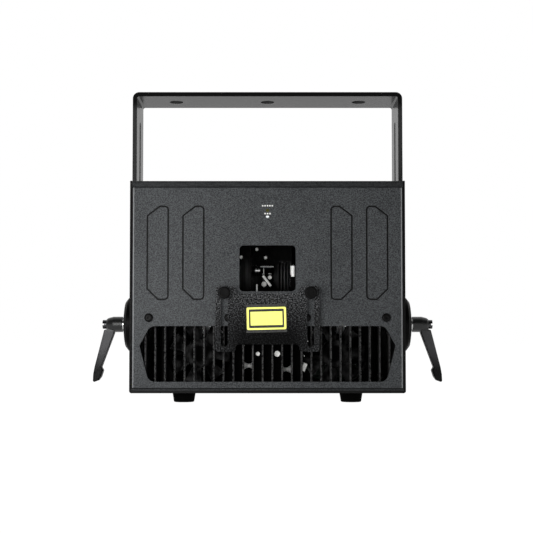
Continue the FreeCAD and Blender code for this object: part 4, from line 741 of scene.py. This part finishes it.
# %% Give the pieces their finishes
finishes = {
    panel_coat: "front_panel",
    case_coat: "rear_panel",
    shell_coat: "case_shell top_lid",
    yoke_coat: "yoke",
    grille_coat: "vent_grille",
    bracket_coat: "fan_bracket power_supply bench_posts bench_stays",
    mask_coat: "aperture_mask",
    plate_film: "mask_plate",
    lever_coat: "left_lever_handle right_lever_handle",
    disc_coat: "left_pivot_disc right_pivot_disc arm_washers",
    oxide_coat: "front_screws rear_screws left_thumb_screw right_thumb_screw mask_spacers",
    foot_coat: "rubber_feet",
    fan_coat: "fan_frames",
    rotor_coat: "left_fan_rotor right_fan_rotor",
    socket_coat: "mains_inlet network_socket",
    block_coat: "scanner_block",
    anodised_coat: "optical_bench lower_galvo upper_galvo lower_mirror_mount window_retainer combiner_bases "
                   "red_laser_module green_laser_module blue_laser_module",
    board_coat: "lamp_board control_board",
    bright_steel: "pivot_studs left_lever_insert right_lever_insert left_lever_spring right_lever_spring "
                  "key upper_mirror_mount",
    dark_steel: "left_lever_screw right_lever_screw",
    milled: "heat_sink galvo_drivers",
    lower_silver: "lower_mirror",
    upper_silver: "upper_mirror",
    silvered: "combiner_mirrors",
    plated: "signal_socket key_switch inlet_pins",
    clear_glass: "window_glass",
    lamp_lens: "status_lamps",
}
finished = set()
for finish, names in finishes.items():
    for name in names.split():
        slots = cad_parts[name].data.materials
        slots.clear()
        slots.append(finish)
        finished.add(name)
print(len(finished), "pieces finished, forgotten:", sorted(set(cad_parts) - finished))

# %% [markdown]
# ## Turned pieces as surfaces of two parameters
#
# Screws, knobs and posts are turned: a profile of radii and heights goes round an axis. On a grid with one
# parameter along the profile and one round the axis, the whole surface is one numpy expression. Letting the
# radius also depend on the angle makes a hexagon socket or a knurl from the same formula. Where the first
# and last rows of a profile have radius nought, merging doubles closes the poles.

# %% Surfaces
def around(steps):
    """Even angles round an axis, one row of them."""
    return np.linspace(0, 2 * np.pi, steps, endpoint=False)[None, :]


def hexagon(angle):
    """Reach of a hexagon with flats one unit out: one over the cosine of the angle past the nearest flat."""
    return 1 / np.cos((angle + np.pi / 6) % (np.pi / 3) - np.pi / 6)


def profile(reach, steps, socket=0):
    """Reach of a profile at every angle; its last rows, as many as socket says, follow a hexagon."""
    in_socket = (np.arange(len(reach)) >= len(reach) - socket)[:, None]
    return reach[:, None] * np.where(in_socket, hexagon(around(steps)), 1)


def spun(spot, axis, reach, rise):
    """Points of a turned surface: spot + axis * rise + reach * (cos(angle) * across + sin(angle) * upright).

    Reach has a row for each point of the profile and a column for each angle, rise a height for each row.
    """
    axis = np.asarray(axis, float)
    across = np.array((0, 0, 1)) if abs(axis[2]) < 0.5 else np.array((1, 0, 0))
    upright = np.cross(axis, across)
    angle = around(reach.shape[1])[..., None]
    ring = np.cos(angle) * across + np.sin(angle) * upright
    return np.asarray(spot) + axis * rise[:, None, None] + ring * reach[..., None]


def bar(start, end, across, wide, deep, steps=24, blunt=0.35):
    """Bar between two points: a blunt ellipse carried along the line, drawn in to a point at each end.

    The profile is across * wide * sign(c) * |c| ** blunt + inward * deep * sign(s) * |s| ** blunt, where c
    and s are the cosine and sine of the angle, and inward is at right angles to the line and to across.
    """
    start, end, across = (np.asarray(point, float) for point in (start, end, across))
    line = (end - start) / np.linalg.norm(end - start)
    inward = np.cross(line, across)
    angle = around(steps)[..., None]
    ring = (across * wide * np.sign(np.cos(angle)) * np.abs(np.cos(angle)) ** blunt
            + inward * deep * np.sign(np.sin(angle)) * np.abs(np.sin(angle)) ** blunt)
    along = np.array((0, 0, 1, 1))[:, None, None]
    full = np.array((0, 1, 1, 0))[:, None, None]
    return start + along * (end - start) + full * ring


print("surfaces ready, a socket's corner reaches", round(float(hexagon(np.pi / 6)), 3), "flats")

# %% [markdown]
# A piece is one mesh of several such grids. Its quads join neighbouring rows and columns, and the last
# column joins the first. Each piece rides on a body of the mechanism and carries its finish.

# %% Meshes from surfaces
def grid_quads(rows, columns):
    """Corners of the quads between neighbouring rows; the last column joins the first."""
    row, column = np.meshgrid(np.arange(rows - 1), np.arange(columns), indexing="ij")
    here, after = row * columns, (column + 1) % columns
    quads = (here + column, here + after, here + columns + after, here + columns + column)
    return np.stack(quads, axis=-1).reshape(-1, 4)


def new_piece(name, surfaces, material=satin_steel, body="case", smooth=40):
    """One mesh object of several closed surfaces: poles merged, faces outward, soft edges up to an angle."""
    starts = np.cumsum([0] + [surface.shape[0] * surface.shape[1] for surface in surfaces])
    points = np.concatenate([surface.reshape(-1, 3) for surface in surfaces])
    quads = np.concatenate([grid_quads(*surface.shape[:2]) + start
                            for surface, start in zip(surfaces, starts)])
    mesh = bpy.data.meshes.new(name)
    mesh.from_pydata(points.tolist(), [], quads.tolist())
    work = bmesh.new()
    work.from_mesh(mesh)
    bmesh.ops.remove_doubles(work, verts=work.verts, dist=1e-7)
    bmesh.ops.recalc_face_normals(work, faces=work.faces)
    work.to_mesh(mesh)
    work.free()
    mesh.shade_smooth()
    mesh.set_sharp_from_angle(angle=math.radians(smooth))
    mesh.materials.append(material)
    piece = bpy.data.objects.new(name, mesh)
    studio.objects.link(piece)
    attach(piece, body)
    print(name, "has", len(mesh.polygons), "faces and rides on", body)
    return piece


print("quads in a grid of 3 by 4:", len(grid_quads(3, 4)))

# %% [markdown]
# ## Button-head screws
#
# Low, domed screws with a hexagon socket hold the grille behind the front panel and close the rear panel.
# The dome draws in by a power while its height follows a sine, and the socket rows take their reach from the
# hexagon. Each screw replaces its plain CAD stand-in, which stays behind for the collisions.

# %% Button-head screws
HEAD, SHANK = 0.0038, 0.0019


def button_head(spot, axis):
    """Screw of 4 mm: shank, domed head, hexagon socket. Profile in metres, radius then height."""
    dome = np.linspace(0, 1, 9)
    reach = np.concatenate([(0, SHANK, SHANK, 0.0036), HEAD - 0.0019 * dome ** 1.6,
                            (0.00138, 0.00130, 0.00125, 0)])
    rise = np.concatenate([(-0.004, -0.004, 0, 0), 0.0007 + 0.0014 * np.sin(dome * np.pi / 2),
                           (0.0021, 0.0020, 0.0007, 0.0005)])
    return spun(spot, axis, profile(reach, 48, socket=4), rise)


screw_low, screw_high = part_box("front_screws")
front_z, inner_x = (screw_low[2] + screw_high[2]) / 2, 0.0338
front_spots = [(x, front_y, front_z) for x in (screw_low[0] + HEAD, -inner_x, inner_x, screw_high[0] - HEAD)]
front_heads = new_piece("front_button_heads", [button_head(spot, FRONT) for spot in front_spots], oxide_coat,
                        "case")
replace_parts(front_heads, "front_screws")
screw_low, screw_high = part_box("rear_screws")
rear_spots = [(x, back_y, z) for x in (screw_low[0] + HEAD, screw_high[0] - HEAD)
              for z in (screw_low[2] + HEAD, screw_high[2] - HEAD)]
rear_heads = new_piece("rear_button_heads", [button_head(spot, BACK) for spot in rear_spots], oxide_coat,
                       "case")
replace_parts(rear_heads, "rear_screws")

# %% [markdown]
# ## Thumb screws
#
# Two black knobs clamp the sliding mask. Fingers need grip, so the side is knurled with fine teeth along the
# axis. They are a triangle wave of the angle and fade out at both ends of the band.

# %% Thumb screws
KNOB, KNURL_DEPTH = 0.00525, 0.00028


def knob(spot, axis, teeth=36, fine=5):
    """Knob: reach = profile - depth * knurl(height) * triangle wave(teeth * angle), on a neck and shank."""
    side, face = np.linspace(0, 1, 9), np.linspace(0, 1, 6)
    reach = np.concatenate([(0, SHANK, SHANK, 0.0026, 0.0026, 0.0044, 0.0044, 0.0047), np.full(9, KNOB),
                            KNOB - 0.0009 * (1 - np.cos(face * np.pi / 2)), (0.0036, 0.0033, 0)])
    rise = np.concatenate([(-0.0028, -0.0028, 0.0002, 0.0002, 0.00515, 0.00515, 0.0068, 0.0072),
                           0.0075 + 0.0061 * side, 0.0137 + 0.0012 * np.sin(face * np.pi / 2),
                           (0.01495, 0.0146, 0.0145)])
    fade = np.clip(side * 8, 0, 1) * np.clip((1 - side) * 8, 0, 1)
    knurl = np.concatenate([np.zeros(8), np.sin(fade * np.pi / 2), np.zeros(9)])[:, None]
    wave = np.abs((around(teeth * fine * 2) * teeth / (2 * np.pi)) % 1 - 0.5) * 2
    return spun(spot, axis, reach[:, None] - KNURL_DEPTH * knurl * wave, rise)


for hand in ("left", "right"):
    spot = middle(f"{hand}_thumb_screw")
    grip = new_piece(f"{hand}_knurled_knob", [knob((spot[0], front_y, spot[2]), FRONT)], knob_coat,
                     f"{hand}_thumb", 30)
    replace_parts(grip, f"{hand}_thumb_screw")

# %% [markdown]
# ## Washers beside the case
#
# A wide washer turns with the yoke and slides on the case. Its profile is a closed loop, so the surface is
# a ring with a bevelled rim. It stands a few hundredths of a millimetre off the case, where the grease
# would be.

# %% Friction washers
def washer(spot, axis, bore, radius, thickness, bevel=0.0003):
    """Ring: the profile runs from the bore out over the bevelled rim and back again to where it started."""
    reach = np.array((bore, radius - bevel, radius, radius, radius - bevel, bore, bore))
    rise = np.array((0, 0, bevel, thickness - bevel, thickness, thickness, 0))
    return spun(spot, axis, profile(reach, 96), rise)


(washer_low, washer_high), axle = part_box("arm_washers"), middle("arm_washers")
off_case, bore = shell_side + 0.00006, 0.0041
radius, thickness = (washer_high[2] - washer_low[2]) / 2, washer_high[0] - off_case
rings = [washer((side * off_case, axle[1], axle[2]), (side, 0, 0), bore, radius, thickness)
         for side in (-1, 1)]
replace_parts(new_piece("friction_washers", rings, disc_coat, "pivot_discs"), "arm_washers")

# %% [markdown]
# ## Springs in the levers
#
# A clamping lever is pulled out against a small spring, turned free of its toothed insert, and let go
# again. A coil takes the place of the CAD model's plain sleeve. It is a tube round a helix: at each point
# of the helix a small ring stands at right angles to it. Pulling the handle squeezes the coil; each coil
# has its own mesh and rides on its lever's insert.

# %% Spring coils
def coil(spot, radius, wire, length, turns=5, steps=10):
    """Tube round a helix: spot + x * length * t + radius * out + wire * (cos(b) * out + sin(b) * side).

    Out points from the axis at the angle 2 * pi * turns * t; side is at right angles to it and to the helix.
    """
    share = np.concatenate([[0], np.linspace(0, 1, turns * 24 + 1), [1]])[:, None]
    full = np.concatenate([[0], np.ones(turns * 24 + 1), [0]])[:, None, None]
    angle = 2 * np.pi * turns * share
    out = np.stack([0 * angle, np.cos(angle), np.sin(angle)], axis=-1)
    along = np.stack([0 * angle + length, -radius * 2 * np.pi * turns * np.sin(angle),
                      radius * 2 * np.pi * turns * np.cos(angle)], axis=-1)
    side = np.cross(along / np.linalg.norm(along, axis=-1, keepdims=True), out)
    round_wire = around(steps)[..., None]
    centre = np.asarray(spot) + np.stack([share * length, 0 * share, 0 * share], axis=-1) + radius * out
    return centre + full * wire * (np.cos(round_wire) * out + np.sin(round_wire) * side)


wire, travel = 0.00024, 0.0025
for hand in ("left", "right"):
    (low, high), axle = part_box(f"{hand}_lever_spring"), middle(f"{hand}_lever_spring")
    radius, length = (high[2] - low[2]) / 2 - 2 * wire, high[0] - low[0] - 2 * wire
    turns = coil((low[0] + wire, axle[1], axle[2]), radius, wire, length)
    spring = new_piece(f"{hand}_spring_coil", [turns], bright_steel, f"{hand}_insert")
    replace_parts(spring, f"{hand}_lever_spring")
    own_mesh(spring)

# %% [markdown]
# ## Screws round the scanner
#
# Behind the window a black block holds two galvanometers. What catches the eye there is bright steel: the
# cap screws of the block and the clamp screws of the lower mirror's mount. They are cylinders with a small
# bevel and a hexagon socket. The clamp screws ride on the mirror that they clamp.

# %% Cap screws of the scanner
def cap_screw(spot, axis, radius, height, steps=36):
    """Cylinder head with a bevelled rim and a hexagon socket; sizes are shares of its radius and height."""
    reach = radius * np.array((0, 0.97, 1, 1, 0.90, 0.55, 0.50, 0.48, 0))
    rise = height * np.array((-0.1, -0.1, 0, 0.88, 1, 1, 0.95, 0.45, 0.40))
    return spun(spot, axis, profile(reach, steps, socket=3), rise)


block_face, arm_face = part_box("lower_galvo")[0][1] + 0.003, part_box("scanner_block")[0][1]
mount_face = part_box("lower_mirror_mount")[0][1]
scan_x, _, scan_z = middle("lower_mirror_mount")
block_screws = [cap_screw((scan_x + x, face, scan_z + z), FRONT, radius, height)
                for x, z, face, radius, height in (
                    (-0.0095, 0.0303, block_face, 0.0014, 0.0016),
                    (-0.0013, 0.0224, block_face, 0.0014, 0.0016),
                    (-0.0236, 0.0213, arm_face, 0.0016, 0.0018))]
new_piece("scanner_cap_screws", block_screws)
clamp_screws = [cap_screw((scan_x + x, mount_face, scan_z + z), FRONT, radius, 0.0022)
                for x, z, radius in ((0.0028, 0.0036, 0.0018), (-0.0026, -0.0026, 0.0024))]
new_piece("lower_clamp_screws", clamp_screws, body="lower_mirror")

# %% [markdown]
# ## Clips on the mirrors
#
# A thin strip is clipped over the front edge of the lower mirror, and seen from the front it is the
# brightest line of the scanner. A shorter strip lies on the face of the upper mirror. Each is a bar along
# its slanting plate, worked out from the middle of the mirror's box, and swings with the mirror.

# %% Mirror clips
lower_tilt, half_strip = math.radians(53), 0.0060
slant = np.array((-math.cos(lower_tilt), 0, math.sin(lower_tilt)))
edge = middle("lower_mirror")
edge[1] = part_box("lower_mirror")[0][1] - 0.0002
lower_strip = bar(edge - slant * half_strip, edge + slant * half_strip, np.cross(slant, BACK),
                  0.0011, 0.0005)
new_piece("lower_mirror_clip", [lower_strip], body="lower_mirror")
outward, upward = np.array((0, -1, -1)) / math.sqrt(2), np.array((0, -1, 1)) / math.sqrt(2)
spine = middle("upper_mirror") + outward * 0.0006 - (0.0029, 0, 0)
upper_strip = bar(spine - upward * 0.0042, spine + upward * 0.0012, SIDEWAYS, 0.0005, 0.0003)
new_piece("upper_mirror_clip", [upper_strip], body="upper_mirror")

# %% [markdown]
# ## Adjuster and bench pin
#
# Beside the mirrors a polished pad presses on the steering mirror, and a dowel pin stands in the bench. The
# pad's face is turned a little to the left, half way between the lens and the left softbox, so it flashes
# white.

# %% Adjuster and bench pin
bench_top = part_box("optical_bench")[1][2]
pad_foot, pad_turn, pad_length = np.array((0.0232, -0.0648, scan_z + 0.0038)), math.radians(15), 0.0100
pad = bar(pad_foot, pad_foot + np.array(UP) * pad_length, (math.cos(pad_turn), -math.sin(pad_turn), 0),
          0.0020, 0.0016)
new_piece("steering_pad", [pad])
dowel = cap_screw((-0.0097, -0.0750, bench_top), UP, 0.0008, 0.0155)
new_piece("bench_dowel", [dowel])

# %% [markdown]
# ## Screws on the fan bracket
#
# Through the middle of the vent two bright screw heads show on the bracket between the fans, and a small
# clip shows to the right of them.

# %% Bracket screws
bracket_face, fan_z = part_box("fan_bracket")[0][1], middle("left_fan_rotor")[2]
bracket_screws = [cap_screw((x, bracket_face, fan_z), FRONT, radius, 0.0024)
                  for x, radius in ((-0.0085, 0.0018), (0.0085, 0.0026))]
clip = bar((0.0312, bracket_face, fan_z - 0.0150), (0.0336, bracket_face, fan_z - 0.0085), (0.86, 0, -0.5),
           0.0018, 0.0010)
new_piece("bracket_cap_screws", bracket_screws + [clip])

# %% [markdown]
# Deeper in, a waisted nut sits on each stay of the bench. It is turned like the screws, with a power of the
# place along it for the waist: the radius is smallest in the middle and grows towards both ends.

# %% Waisted nuts on the stays
def waisted_nut(spot, axis, radius, length):
    """Reach = radius * (0.5 + 0.5 * |2t - 1| ** 1.5) for t from nought to one along the axis."""
    along = np.linspace(0, 1, 13)
    reach = np.concatenate([(0,), radius * (0.5 + 0.5 * np.abs(2 * along - 1) ** 1.5), (0,)])
    rise = length * (np.concatenate([(0,), along, (1,)]) - 0.5)
    return spun(spot, axis, profile(reach, 32), rise)


stay_x, stay_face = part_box("bench_stays")[1][0] - 0.0065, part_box("bench_stays")[0][1]
nuts = [waisted_nut((side * stay_x, stay_face, fan_z - drop), SIDEWAYS, 0.0036, 0.0076)
        for side, drop in ((-1, 0.0112), (1, 0.0145))]
new_piece("stay_nuts", nuts)

# %% [markdown]
# ## Contacts of the signal socket
#
# The control signal comes in at the back. The wide socket has a flat black insert with two rows of
# contacts, small turned sleeves at the pitch that such sockets share, and a threaded post at each end holds
# the plug.

# %% Signal contacts
(socket_x, _, socket_z), nose_face = middle("signal_socket"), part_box("signal_socket")[1][1]
half_insert, half_posts, pitch, row_rise = 0.0176, 0.02352, 0.00277, 0.00142
insert = bar((socket_x - half_insert, nose_face, socket_z), (socket_x + half_insert, nose_face, socket_z),
             UP, 0.0034, 0.0003)
new_piece("signal_insert", [insert], knob_coat, "case")
contacts = [(socket_x + (place - (count - 1) / 2) * pitch, nose_face + 0.0003, socket_z + rise)
            for count, rise in ((13, row_rise), (12, -row_rise)) for place in range(count)]
new_piece("signal_contacts", [cap_screw(spot, BACK, 0.0007, 0.0003, 18) for spot in contacts], contact_brass,
          "case")
posts = [(socket_x + side * half_posts, back_y + 0.0015, socket_z) for side in (-1, 1)]
new_piece("signal_posts", [cap_screw(spot, BACK, 0.0026, 0.0042) for spot in posts], bright_steel)

# %% [markdown]
# ## Seal behind the rear panel
#
# The rear panel is laid in with a hair of play at its sides, and looking right through the vent that gap
# would show as a white line. A strip of black foam behind each side closes it.

# %% Foam seal
rear_low, rear_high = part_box("rear_panel")
seal_x, seal_y = shell_side - 0.0015 - 0.0010, rear_low[1] - 0.0006
seal_foot, seal_top = rear_low[2] + 0.0010, rear_high[2] - 0.0010
seal = [bar((side * seal_x, seal_y, seal_foot), (side * seal_x, seal_y, seal_top), SIDEWAYS, 0.00098, 0.0006)
        for side in (-1, 1)]
new_piece("rear_foam_seal", seal, foot_coat, "case")
